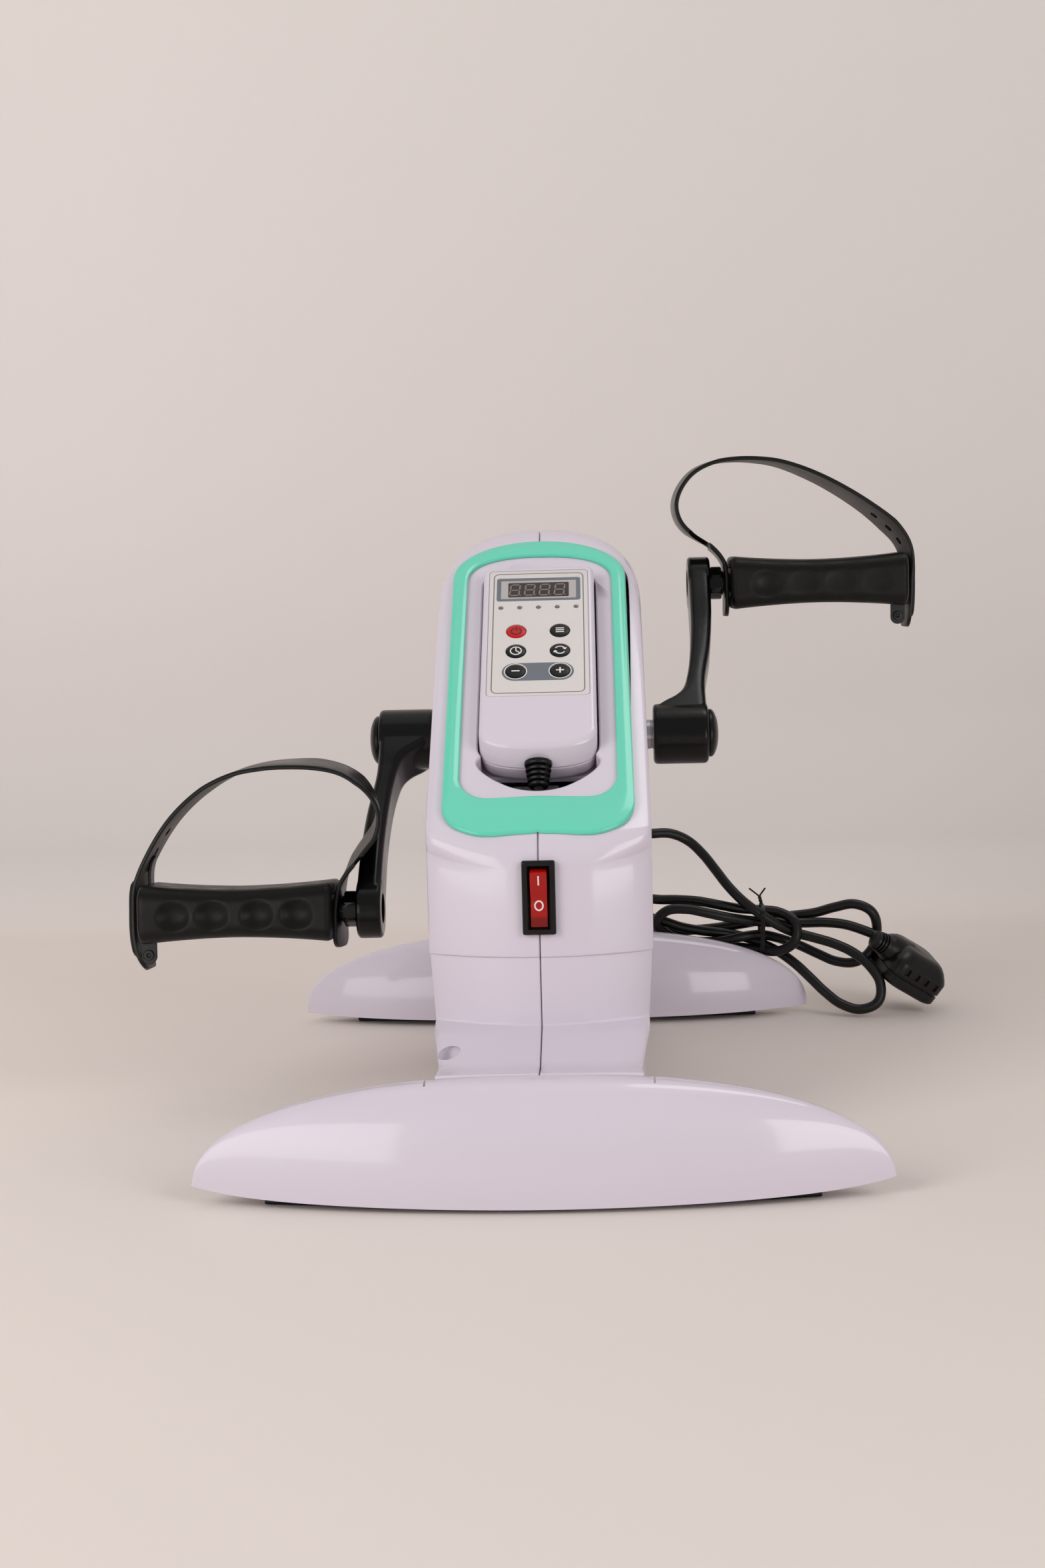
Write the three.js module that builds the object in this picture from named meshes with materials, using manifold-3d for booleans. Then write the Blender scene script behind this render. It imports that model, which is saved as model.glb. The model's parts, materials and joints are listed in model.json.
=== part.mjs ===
// Motorised mini exercise bike: two body half shells on two crescent feet, a crank with
// two strapped pedals, a wired handset in a sloping console and a coiled mains lead.
// Millimetres, +Z up, the floor is z = 0, the user (console side) is at -Y.
import * as THREE from 'three';
import { mergeVertices } from 'three/addons/utils/BufferGeometryUtils.js';
import Module from 'manifold-3d';

const wasm = await Module();
wasm.setup();

// ---------------------------------------------------------------- driving dimensions
const HW = 50.3;            // tower half width
const SEAM_Z = 90.8;        // lower edge of the tower, where it stands out from the lower body
// lower body half width, by height
const legHW = (z) => (z <= 52 ? 46.2 : z < 61 ? 46.2 + 1.8 * (z - 52) / 9 : 48 + 1.7 * Math.min(1, (z - 61) / 30));
const WALL = 2.6;           // shell wall
const FRONT_Y = -116.65;    // front face of the tower on the centre line
const BACK_Y = 103.35;      // back face of the tower
const CROWN_Z = 281.5;      // top of the tower
const SLOPE = 40 * Math.PI / 180;      // console slope
const CON_Y = 43.35, CON_Z = 275.6;    // top end of the console ring, on its top face
const RING_LEN = 202.8, RING_HW = 42.4;
const RING_IN_HW = 35.7, RING_IN_TOP = -11.3, RING_IN_BOT = -179.4;
const CRANK_Y = 41.2, CRANK_Z = 175.8, CRANK_DY = 71.0, CRANK_DZ = 75.8; // pedal offset
const SHAFT_R = 7.5;
const BOSS_R = 15.5, BOSS_IN = 56, BOSS_OUT = 84;
const ARM_IN = 78.3, ARM_OUT = 90;
const GRIP_IN = 100.6, GRIP_OUT = 194.6, GRIP_D = 46, GRIP_H = 28;
const FOOT_HALF = 146.5, FOOT_Y = 171, FOOT_TOP = 52.3, FOOT_EDGE = 6.5; // foot: half length, ridge, top, inner edge height
const FOOT_OUT = 193.5, FOOT_IN = 151; // outer and inner edge at the middle
const SWITCH_Z = 117.9;
const GEAR_M = 1.4, GEAR_N = 48, PIN_N = 12, GEAR_GAP = 0.25;
const MOTOR_DIR = [-0.8, -0.6];
const CORD_R = 2.9;

// ---------------------------------------------------------------- solids
const clean = (g) => {
  const h = g.clone();
  h.deleteAttribute('normal'); h.deleteAttribute('uv');
  return mergeVertices(h, 1e-4);
};
const solid = (g) => {
  const h = clean(g);
  return new wasm.Manifold(new wasm.Mesh({
    numProp: 3,
    vertProperties: new Float32Array(h.attributes.position.array),
    triVerts: new Uint32Array(h.index.array),
  }));
};
const geometry = (m) => {
  const mesh = m.getMesh();
  const n = mesh.vertProperties.length / mesh.numProp;
  const pos = new Float32Array(n * 3);
  for (let i = 0; i < n; i++) for (let k = 0; k < 3; k++) pos[i * 3 + k] = mesh.vertProperties[i * mesh.numProp + k];
  const g = new THREE.BufferGeometry();
  g.setAttribute('position', new THREE.BufferAttribute(pos, 3));
  g.setIndex(new THREE.BufferAttribute(new Uint32Array(mesh.triVerts), 1));
  g.computeVertexNormals();
  return g;
};
const add = (...a) => a.reduce((s, m) => s.add(m));
const cut = (m, ...a) => a.reduce((s, c) => s.subtract(c), m);
const biggest = (m) => m.decompose().sort((a, b) => b.volume() - a.volume())[0];

const box = (x0, x1, y0, y1, z0, z1) => {
  const g = new THREE.BoxGeometry(x1 - x0, y1 - y0, z1 - z0);
  g.translate((x0 + x1) / 2, (y0 + y1) / 2, (z0 + z1) / 2);
  return solid(g);
};
// cylinder along X, Y or Z, from a to b, with its axis through (u, v) in the other two axes
const cyl = (axis, a, b, u, v, r, n = 20, r2 = r) => {
  const g = new THREE.CylinderGeometry(r2, r, b - a, n);
  if (axis === 'x') { g.rotateZ(-Math.PI / 2); g.translate((a + b) / 2, u, v); }
  if (axis === 'y') { g.translate(u, (a + b) / 2, v); }
  if (axis === 'z') { g.rotateX(Math.PI / 2); g.translate(u, v, (a + b) / 2); }
  return solid(g);
};
// turned piece along X: profile is [[x, r], ...] and starts and ends on the axis
const turned = (profile, y, z, n = 24) => {
  const g = new THREE.LatheGeometry(profile.map(([x, r]) => new THREE.Vector2(r, x)), n);
  g.rotateZ(-Math.PI / 2);
  g.translate(0, y, z);
  let m = solid(g);
  if (m.volume() < 0) m = solid(flip(g));
  return m;
};
const flip = (g) => {
  const h = clean(g);
  const a = h.index.array;
  for (let i = 0; i < a.length; i += 3) { const t = a[i]; a[i] = a[i + 1]; a[i + 1] = t; }
  return h;
};
const shapeOf = (pts, holes = []) => {
  const s = new THREE.Shape(pts.map(([a, b]) => new THREE.Vector2(a, b)));
  for (const h of holes) s.holes.push(new THREE.Path(h.map(([a, b]) => new THREE.Vector2(a, b))));
  return s;
};
// prism of an outline in XY (or the console plane) from z = a to z = b
const prismZ = (pts, a, b, holes = []) => {
  const g = new THREE.ExtrudeGeometry(shapeOf(pts, holes), { depth: b - a, bevelEnabled: false, steps: 1 });
  g.translate(0, 0, a);
  return solid(g);
};
// prism of an outline in YZ from x = a to x = b
const prismX = (pts, a, b, holes = []) => {
  const g = new THREE.ExtrudeGeometry(shapeOf(pts, holes), { depth: b - a, bevelEnabled: false, steps: 1 });
  g.applyMatrix4(new THREE.Matrix4().makeBasis(new THREE.Vector3(0, 1, 0), new THREE.Vector3(0, 0, 1), new THREE.Vector3(1, 0, 0)));
  g.translate(a, 0, 0);
  return solid(g);
};
// closed skin through rings of points, all with the same count
const loft = (rings) => {
  const n = rings[0].length, m = rings.length, pos = [], idx = [];
  for (const r of rings) for (const p of r) pos.push(p[0], p[1], p[2]);
  for (let i = 0; i + 1 < m; i++) for (let j = 0; j < n; j++) {
    const a = i * n + j, b = i * n + (j + 1) % n, c = a + n, d = b + n;
    idx.push(a, c, b, b, c, d);
  }
  const cap = (ring, base, back) => {
    const c = ring.reduce((s, p) => [s[0] + p[0], s[1] + p[1], s[2] + p[2]], [0, 0, 0]).map((v) => v / n);
    const nrm = new THREE.Vector3();
    for (let j = 0; j < n; j++) {
      const p = new THREE.Vector3(...ring[j]).sub(new THREE.Vector3(...c));
      const q = new THREE.Vector3(...ring[(j + 1) % n]).sub(new THREE.Vector3(...c));
      nrm.add(p.cross(q));
    }
    nrm.normalize();
    const u = new THREE.Vector3(Math.abs(nrm.x) > 0.9 ? 0 : 1, Math.abs(nrm.x) > 0.9 ? 1 : 0, 0).cross(nrm).normalize();
    const w = nrm.clone().cross(u);
    const flat = ring.map((p) => { const d = new THREE.Vector3(p[0] - c[0], p[1] - c[1], p[2] - c[2]); return new THREE.Vector2(d.dot(u), d.dot(w)); });
    for (const t of THREE.ShapeUtils.triangulateShape(flat, [])) {
      if (back) idx.push(base + t[0], base + t[1], base + t[2]); else idx.push(base + t[0], base + t[2], base + t[1]);
    }
  };
  cap(rings[0], 0, true);
  cap(rings[m - 1], (m - 1) * n, false);
  const g = new THREE.BufferGeometry();
  g.setAttribute('position', new THREE.BufferAttribute(new Float32Array(pos), 3));
  g.setIndex(idx);
  let s = solid(g);
  if (s.volume() < 0) s = solid(flip(g));
  return s;
};

// ---------------------------------------------------------------- outlines
const arc = (cx, cy, r, a0, a1, n, ry = r) => {
  const out = [];
  for (let i = 0; i <= n; i++) { const t = (a0 + (a1 - a0) * i / n) * Math.PI / 180; out.push([cx + r * Math.cos(t), cy + ry * Math.sin(t)]); }
  return out;
};
const roundRect = (x0, x1, y0, y1, r, n = 4) => [
  ...arc(x1 - r, y0 + r, r, -90, 0, n), ...arc(x1 - r, y1 - r, r, 0, 90, n),
  ...arc(x0 + r, y1 - r, r, 90, 180, n), ...arc(x0 + r, y0 + r, r, 180, 270, n)];
// polygon with a fillet at each corner [y, z, r, n] and straight sides split in k
const filleted = (corners, split = {}) => {
  const out = [], N = corners.length;
  for (let i = 0; i < N; i++) {
    const P = corners[(i + N - 1) % N], C = corners[i], Q = corners[(i + 1) % N];
    const a = [P[0] - C[0], P[1] - C[1]], b = [Q[0] - C[0], Q[1] - C[1]];
    const la = Math.hypot(...a), lb = Math.hypot(...b);
    const ua = [a[0] / la, a[1] / la], ub = [b[0] / lb, b[1] / lb];
    const r = C[2], n = C[3];
    const th = Math.acos(Math.max(-1, Math.min(1, ua[0] * ub[0] + ua[1] * ub[1])));
    const t = r / Math.tan(th / 2);
    const bis = [ua[0] + ub[0], ua[1] + ub[1]], lbis = Math.hypot(...bis);
    const ctr = [C[0] + bis[0] / lbis * r / Math.sin(th / 2), C[1] + bis[1] / lbis * r / Math.sin(th / 2)];
    const s = [C[0] + ua[0] * t, C[1] + ua[1] * t], e = [C[0] + ub[0] * t, C[1] + ub[1] * t];
    let a0 = Math.atan2(s[1] - ctr[1], s[0] - ctr[0]), a1 = Math.atan2(e[1] - ctr[1], e[0] - ctr[0]);
    while (a1 - a0 > Math.PI) a1 -= 2 * Math.PI;
    while (a1 - a0 < -Math.PI) a1 += 2 * Math.PI;
    for (let k = 0; k <= n; k++) { const w = a0 + (a1 - a0) * k / n; out.push([ctr[0] + r * Math.cos(w), ctr[1] + r * Math.sin(w), i, k / n]); }
    const m = split[i] || 1;
    if (m > 1) out.push(...Array.from({ length: m - 1 }, (_, k) => ['split', i, (k + 1) / m]));
  }
  // fill in the split points of straight sides
  const L = out.length;
  const res = [];
  for (let i = 0; i < L; i++) {
    const p = out[i];
    if (p[0] !== 'split') { res.push(p); continue; }
    let a = i; while (out[a][0] === 'split') a--;
    let b = i; while (out[b % L][0] === 'split') b++;
    const A = out[a], B = out[b % L];
    res.push([A[0] + (B[0] - A[0]) * p[2], A[1] + (B[1] - A[1]) * p[2], p[1], p[2]]);
  }
  return res;
};
// the same corners moved inwards by t
const inset = (corners, t) => {
  const N = corners.length;
  let area = 0;
  for (let i = 0; i < N; i++) { const a = corners[i], b = corners[(i + 1) % N]; area += a[0] * b[1] - b[0] * a[1]; }
  const s = Math.sign(area);
  const lines = corners.map((C, i) => {
    const Q = corners[(i + 1) % N];
    const d = [Q[0] - C[0], Q[1] - C[1]], l = Math.hypot(...d);
    const nrm = [-d[1] / l * s, d[0] / l * s];
    return { p: [C[0] + nrm[0] * t, C[1] + nrm[1] * t], d };
  });
  return corners.map((C, i) => {
    const A = lines[(i + N - 1) % N], B = lines[i];
    const det = A.d[0] * B.d[1] - A.d[1] * B.d[0];
    const k = ((B.p[0] - A.p[0]) * B.d[1] - (B.p[1] - A.p[1]) * B.d[0]) / det;
    const P = corners[(i + N - 1) % N], Q = corners[(i + 1) % N];
    const convex = ((C[0] - P[0]) * (Q[1] - C[1]) - (C[1] - P[1]) * (Q[0] - C[0])) * s > 0;
    return [A.p[0] + A.d[0] * k, A.p[1] + A.d[1] * k, Math.max(0.8, convex ? C[2] - t : C[2] + t), C[3]];
  });
};
const bulge = (v, p) => 1 - Math.pow(Math.max(0, 1 - Math.pow(v, p)), 1 / p);
// skin between a centre outline and a side outline: q(point) = [bow share, power]
const pillow = (mid, side, hw, q, stations) => loft([...stations.map((v) => -v).reverse(), ...stations.filter((v) => v > 0)].map((v) => mid.map((c, j) => {
  const [b, p] = q(c), a = Math.abs(v);
  const g = b * a * a + (1 - b) * bulge(a, p);
  return [(typeof hw === 'function' ? hw(c[1]) : hw) * v, c[0] + (side[j][0] - c[0]) * g, c[1] + (side[j][1] - c[1]) * g];
})));

// console frame: x, s up the slope, h out of it
const toConsole = new THREE.Matrix4().makeTranslation(0, CON_Y, CON_Z).multiply(new THREE.Matrix4().makeRotationX(SLOPE));
const place = (m, mat) => m.transform([...mat.elements]);
const con = (m) => place(m, toConsole);
const conYZ = (s, h) => [CON_Y + s * Math.cos(SLOPE) - h * Math.sin(SLOPE), CON_Z + s * Math.sin(SLOPE) + h * Math.cos(SLOPE)];

// ---------------------------------------------------------------- body shells
const planeAt = (h) => { const [y, z] = conYZ(0, h); return { y, z }; };
const pm = planeAt(-1.8), ps = planeAt(-8.8), tan = Math.tan(SLOPE);
const towerMid = [
  [FRONT_Y, SEAM_Z, 1, 1], [FRONT_Y, pm.z - (pm.y - FRONT_Y) * tan, 22, 5],
  [pm.y + (CROWN_Z - pm.z) / tan, CROWN_Z, 25, 4], [BACK_Y, CROWN_Z, 30, 7], [BACK_Y, SEAM_Z, 1, 1]];
const SIDE_F = -97.6, SIDE_B = 88, SIDE_T = CROWN_Z - 38;
const towerSide = [
  [SIDE_F, SEAM_Z, 1, 1], [SIDE_F, ps.z - (ps.y - SIDE_F) * tan, 14, 5],
  [ps.y - (ps.z - SIDE_T) / tan, SIDE_T, 30, 4], [SIDE_B, SIDE_T, 28, 7], [SIDE_B, SEAM_Z, 1, 1]];
const towerSplit = { 0: 2, 1: 7, 2: 2, 3: 3 };
// share of the bow and the power of the edge rounding, by where the point is on the outline
const towerQ = (c) => {
  const i = c[2], k = c[3];
  if (i === 0) return [0.7, 8];
  if (i === 1) return k < 1 && c[1] < 146 ? [0.7 - 0.5 * k, 8] : [0.2, 8 - 5.6 * Math.max(0, (c[1] - 220) / 60)];
  if (i === 2) return [0, 2.4];
  if (i === 3) return c[1] > 250 ? [0, 2.4] : [0.5, 2.4 + 4 * Math.min(1, (250 - c[1]) / 60)];
  return [0.6, 7];
};
const legMid = [
  [-171.5, 21, 2, 2], [-171.5, 53.0, 1.0, 2], [-152, 51.0, 25, 3], [-116.3, 60.8, 1.0, 2], [-116.0, 98, 1, 1],
  [102.7, 98, 1, 1], [103.0, 60.8, 1.0, 2], [146, 51.0, 25, 3], [171.5, 53.0, 1.0, 2], [171.5, 21, 2, 2],
  [150, 21, 8, 2], [112, 32, 20, 2], [-112, 32, 20, 2], [-150, 21, 8, 2]];
const legSide = [
  [-170.5, 22.5, 2, 2], [-170.5, 51.4, 1.0, 2], [-146, 49.4, 25, 3], [-99.6, 61.4, 1.0, 2], [-99.3, 98, 1, 1],
  [86.0, 98, 1, 1], [86.3, 61.4, 1.0, 2], [140, 49.4, 25, 3], [170.5, 51.4, 1.0, 2], [170.5, 22.5, 2, 2],
  [150, 22.5, 8, 2], [112, 33.5, 20, 2], [-112, 33.5, 20, 2], [-150, 22.5, 8, 2]];
const legQ = (c) => (c[2] >= 3 && c[2] <= 6 ? [0.8, 8] : [0.2, 8]);
const FINE = [0, 0.3, 0.55, 0.75, 0.88, 0.95, 0.985, 1], COARSE = [0, 0.5, 0.8, 0.95, 1];
const tower = pillow(filleted(towerMid, towerSplit), filleted(towerSide, towerSplit), HW, towerQ, FINE);
const leg = pillow(filleted(legMid), filleted(legSide), legHW, legQ, [0, 0.4, 0.7, 0.88, 0.96, 1]);
const towerIn = pillow(filleted(inset(towerMid, WALL), towerSplit), filleted(inset(towerSide, WALL), towerSplit), HW - WALL, towerQ, COARSE);
const legIn = pillow(filleted(inset(legMid, WALL)), filleted(inset(legSide, WALL)), (z) => legHW(z) - WALL, legQ, COARSE);
const bodyOuter = add(tower, leg), bodyInner = add(towerIn, legIn);

const OPEN = { hw: 38.0, top: -9.0, bot: -181.8 };
const opening = con(prismZ(roundRect(-OPEN.hw, OPEN.hw, OPEN.bot, OPEN.top, 15, 5), -13, 6));
const screws = { front: [-82, 110], rear: [88, 110], top: [55, 240] };
const GLAND_X = 12, GLAND_Z = 98;
let body = cut(bodyOuter, bodyInner);
const bosses = Object.values(screws).map(([y, z]) => cyl('x', -HW + 1, HW - 1, y, z, 5.6, 12).intersect(bodyOuter));
body = add(body, ...bosses);
body = cut(body, opening,
  box(-6.4, 6.4, -125, -108, SWITCH_Z - 14.6, SWITCH_Z + 14.6),
  cyl('x', -60, 60, CRANK_Y, CRANK_Z, 11.5, 28),
  cyl('y', 95, 110, GLAND_X, GLAND_Z, 6.0, 16),
  box(-36.5, 36.5, -168.3, -146, 10, 28), box(-36.5, 36.5, 146, 168.3, 10, 28));
for (const [y, z] of Object.values(screws)) {
  body = cut(body, cyl('x', 34, 60, y, z, 4.3, 12), cyl('x', 0, 35, y, z, 1.9, 8), cyl('x', -14, 1, y, z, 1.8, 8));
}
// screw pocket in the instep of the left leg
{
  const g = new THREE.CylinderGeometry(5.2, 5.2, 30, 16);
  g.rotateX(Math.PI / 2 + 0.35);
  g.translate(-39.5, -130, 52.5);
  const pocket = solid(g);
  const wall = new THREE.CylinderGeometry(7.2, 7.2, 31, 16);
  wall.rotateX(Math.PI / 2 + 0.35);
  wall.translate(-39.5, -129, 51.5);
  body = add(body, solid(wall).intersect(bodyOuter).intersect(box(-60, 0, -150, -112, 30, 62)));
  body = cut(body, pocket.intersect(box(-60, 0, -160, -116.5, 30, 70)));
}
const leftShell = body.intersect(box(-80, -0.18, -260, 260, -20, 320));
const rightShell = body.intersect(box(0.18, 80, -260, 260, -20, 320));

// ---------------------------------------------------------------- feet
const footDome = (grow, edge, nA, nF, sgn) => {
  const rings = [];
  for (let i = 0; i <= nA; i++) {
    const a = (-87 + 174 * i / nA) * Math.PI / 180, t = Math.abs(Math.sin(a));
    const F = Math.pow(Math.max(0, 1 - Math.pow(t, 2.25)), 1 / 2.25);
    const x = (FOOT_HALF + grow) * Math.sin(a);
    const top = FOOT_EDGE + Math.max(1, (FOOT_TOP - FOOT_EDGE + grow) * F);
    const yc = FOOT_Y + 2.5 * t * t;
    const out = Math.max(0.8, FOOT_OUT + grow - 19.5 * t * t - yc), inn = Math.max(0.8, yc - FOOT_IN + grow - 22.5 * Math.pow(t, 3.4));
    const ring = [];
    const lowOut = edge === null ? 2 + 2.5 * t * t + 3.5 * Math.pow(t, 8) : edge, lowIn = edge === null ? FOOT_EDGE + 1.5 * t * t : edge;
    for (let k = 0; k <= nF; k++) {
      const f = Math.PI * k / nF, c = Math.cos(f), s = Math.sin(f);
      const low = c > 0 ? lowOut : lowIn, yy = (c > 0 ? out : inn) * Math.sign(c) * Math.pow(Math.abs(c), 0.9), zz = Math.pow(s, 0.9);
      ring.push([x, sgn * (yc + yy), low + (top - low) * zz]);
    }
    rings.push(sgn > 0 ? ring : ring.reverse());
  }
  return loft(rings);
};
const legGap = (m) => { // leg volume with a 0.35 mm gap, for cutting the covers
  const grow = (c) => inset(c, -0.4);
  return pillow(filleted(grow(legMid)), filleted(grow(legSide)), (z) => legHW(z) + 0.35, legQ, COARSE);
};
const legCut = legGap();
const footCover = (sgn) => {
  const outer = footDome(0, null, 22, 14, sgn);
  const inner = footDome(-2.8, -4, 18, 10, sgn);
  return biggest(cut(outer, inner, legCut, box(-46.6, 46.6, sgn > 0 ? 100 : -160, sgn > 0 ? 160 : -100, 20.1, 70)));
};
const footBar = (sgn) => {
  const y0 = sgn * 171 - 9, y1 = sgn * 171 + 9;
  return cut(box(-98, 98, y0, y1, 6.6, 20), box(-120, 120, y0 + 1.6, y1 - 1.6, 8.2, 18.4));
};
const pad = (sx, sy) => {
  const P = filleted([[61, 157.5, 4, 3], [117, 165.5, 4, 3], [117, 176.5, 4, 3], [61, 185, 4, 3]]).map(([x, y]) => [sx * x, sy * y]);
  return prismZ(sx * sy > 0 ? P : P.reverse(), 0, 6.3);
};

// ---------------------------------------------------------------- inner frame
const rail = (() => {
  const parts = [box(-33, 33, -167.5, 167.5, 38, 40.8), box(-33, -30.4, -167.5, 167.5, 40, 46.5), box(30.4, 33, -167.5, 167.5, 40, 46.5)];
  for (const s of [-1, 1]) {
    parts.push(box(-33, 33, s > 0 ? 164.7 : -167.5, s > 0 ? 167.5 : -164.7, 20.4, 39));
    parts.push(box(-33, 33, s > 0 ? 149 : -167.5, s > 0 ? 167.5 : -149, 20.4, 23));
  }
  return cut(add(...parts), box(-34, -31.6, -134, -117, 37, 48));
})();
const plate = (side) => {
  const outline = [[-26, 47], [80, 47], [74, 115], [67, 176], ...arc(CRANK_Y, CRANK_Z, 24, 20, 160, 6), [-12, 172], [-24, 150]];
  const x0 = side > 0 ? 27.8 : -30.6, x1 = x0 + 2.8;
  let m = prismX(outline, x0, x1);
  m = add(m, box(side > 0 ? 16 : -30.0, side > 0 ? 30.0 : -16, -26, 80, 41.1, 43.6), box(side > 0 ? 27.8 : -30.0, side > 0 ? 30.0 : -27.8, -26, 80, 41.1, 48));
  m = add(m, side > 0 ? cyl('x', 30.2, 40.4, CRANK_Y, CRANK_Z, 19.5, 24) : cyl('x', -40.4, -30.2, CRANK_Y, CRANK_Z, 19.5, 24));
  m = cut(m, cyl('x', side > 0 ? 31 : -60, side > 0 ? 60 : -31, CRANK_Y, CRANK_Z, 16.25, 24), cyl('x', -60, 60, CRANK_Y, CRANK_Z, 10.5, 20));
  return m;
};
const bearing = (side) => cut(
  cyl('x', side > 0 ? 31.3 : -40.2, side > 0 ? 40.2 : -31.3, CRANK_Y, CRANK_Z, 15.9, 24),
  cyl('x', -60, 60, CRANK_Y, CRANK_Z, SHAFT_R + 0.35, 24));

// ---------------------------------------------------------------- gears and motor
const gearDist = GEAR_M * (GEAR_N + PIN_N) / 2 + GEAR_GAP;
const MOT_Y = CRANK_Y + MOTOR_DIR[0] * gearDist, MOT_Z = CRANK_Z + MOTOR_DIR[1] * gearDist;
const gearOutline = (N, phase, add_, ded) => {
  const rp = GEAR_M * N / 2, rb = rp * Math.cos(20 * Math.PI / 180);
  const inv = (a) => Math.tan(a) - a;
  const psi = (r) => { const a = r <= rb ? 0 : Math.acos(rb / r); return Math.PI / (2 * N) * 0.9 + inv(20 * Math.PI / 180) - inv(a); };
  const ro = rp + add_, rr = rp - ded, out = [];
  for (let i = 0; i < N; i++) {
    const c = phase + 2 * Math.PI * i / N;
    for (const [r, s] of [[rr, -1], [rp, -1], [ro, -1], [ro, 1], [rp, 1], [rr, 1]]) {
      const w = c + s * psi(Math.max(r, rb));
      out.push([r * Math.cos(w), r * Math.sin(w)]);
    }
  }
  return out;
};
const meshDir = Math.atan2(MOTOR_DIR[1], MOTOR_DIR[0]);
const at = (pts, y, z) => pts.map(([a, b]) => [a + y, b + z]);
const driveGear = cut(
  add(prismX(at(gearOutline(GEAR_N, meshDir, GEAR_M, GEAR_M * 1.2), CRANK_Y, CRANK_Z), 14, 22), cyl('x', 9.5, 14.5, CRANK_Y, CRANK_Z, 12.5, 20)),
  cyl('x', -60, 60, CRANK_Y, CRANK_Z, SHAFT_R + 0.3, 20));
const motorPinion = add(
  prismX(at(gearOutline(PIN_N, meshDir + Math.PI + Math.PI / PIN_N, GEAR_M, GEAR_M * 1.2), MOT_Y, MOT_Z), 13, 23),
  cyl('x', 1, 14, MOT_Y, MOT_Z, 3, 12));
const gearMotor = cut(
  turned([[-27.4, 0], [-27.4, 7], [-25.4, 7], [-25.4, 18.5], [-24, 20], [-5, 20], [-5, 22], [8, 22], [9.5, 20.5], [9.5, 0]], MOT_Y, MOT_Z, 24),
  cyl('x', 0, 20, MOT_Y, MOT_Z, 3.4, 12));

// ---------------------------------------------------------------- crank
const crankshaft = cut(
  turned([[-72, 0], [-72, 6.5], [-71, SHAFT_R], [71, SHAFT_R], [72, 6.5], [72, 0]], CRANK_Y, CRANK_Z, 24),
  cyl('x', 56, 90, CRANK_Y, CRANK_Z, 4.0, 10), cyl('x', -90, -56, CRANK_Y, CRANK_Z, 4.0, 10));
// arm on the +X side, running from the crank axis to a pedal at (dy, dz)
const crankArm = (side, grow = 0) => {
  const dy = side > 0 ? CRANK_DY : -CRANK_DY, dz = side > 0 ? CRANK_DZ : -CRANK_DZ;
  const L = Math.hypot(dy, dz), e = [dy / L, dz / L], w = [-dz / L, dy / L];
  const sect = (u, xi, xo, hw) => {
    const c = Math.min(3.2, (xo - xi) / 3.4), k = c * 0.35;
    const loop = [[xi + c, -hw], [xo - c, -hw], [xo - k, -hw + k], [xo, -hw + c], [xo, hw - c], [xo - k, hw - k], [xo - c, hw], [xi + c, hw], [xi + k, hw - k], [xi, hw - c], [xi, -hw + c], [xi + k, -hw + k]];
    return loop.map(([x, q]) => [side * x, CRANK_Y + e[0] * u + w[0] * q, CRANK_Z + e[1] * u + w[1] * q]);
  };
  const rows = [[0, 57, 83.5, 13.5], [9, 57.5, 83.8, 13.4], [16, 60.5, 84.2, 13.0], [22, 65, 84.8, 12.4], [29, 70, 85.8, 11.8], [38, 74, 87, 11.3], [50, 76.6, 88.5, 11.0], [68, 78, 89.7, 11.2], [86, ARM_IN, ARM_OUT, 12.2], [L, ARM_IN, ARM_OUT, 13.4]];
  const bar = loft(rows.map(([u, xi, xo, hw]) => sect(u, xi - grow, xo + grow, hw + grow)));
  if (grow) return bar;
  const py = CRANK_Y + dy, pz = CRANK_Z + dz;
  const S = (pts) => pts.map(([x, r]) => [side * x, r]);
  const hub = turned(side > 0 ? S([[BOSS_IN, 0], [BOSS_IN, 14], [BOSS_IN + 1.6, BOSS_R], [BOSS_OUT - 1.6, BOSS_R], [BOSS_OUT, 14], [BOSS_OUT, 0]])
    : S([[BOSS_OUT, 0], [BOSS_OUT, 14], [BOSS_OUT - 1.6, BOSS_R], [BOSS_IN + 1.6, BOSS_R], [BOSS_IN, 14], [BOSS_IN, 0]]), CRANK_Y, CRANK_Z, 28);
  const eye = turned(side > 0 ? S([[ARM_IN - 0.3, 0], [ARM_IN - 0.3, 13.2], [ARM_IN + 0.9, 14.2], [ARM_OUT - 1, 14.2], [ARM_OUT, 13.2], [ARM_OUT, 0]])
    : S([[ARM_OUT, 0], [ARM_OUT, 13.2], [ARM_OUT - 1, 14.2], [ARM_IN + 0.9, 14.2], [ARM_IN - 0.3, 13.2], [ARM_IN - 0.3, 0]]), py, pz, 24);
  const X = (a, b, r, n, y = CRANK_Y, z = CRANK_Z) => (side > 0 ? cyl('x', a, b, y, z, r, n) : cyl('x', -b, -a, y, z, r, n));
  return cut(add(hub, bar, eye), X(40, 73, SHAFT_R + 0.35, 24), X(72, 80, 4.4, 12), X(77, 95, 11.8, 24), X(70, 100, 7.3, 20, py, pz));
};
const crankBolt = (side) => {
  const S = side > 0 ? [[58, 0], [58, 3.6], [77.3, 3.6], [77.3, 8], [82, 8], [82, 0]] : [[-82, 0], [-82, 8], [-77.3, 8], [-77.3, 3.6], [-58, 3.6], [-58, 0]];
  return turned(S, CRANK_Y, CRANK_Z, 12);
};
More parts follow.
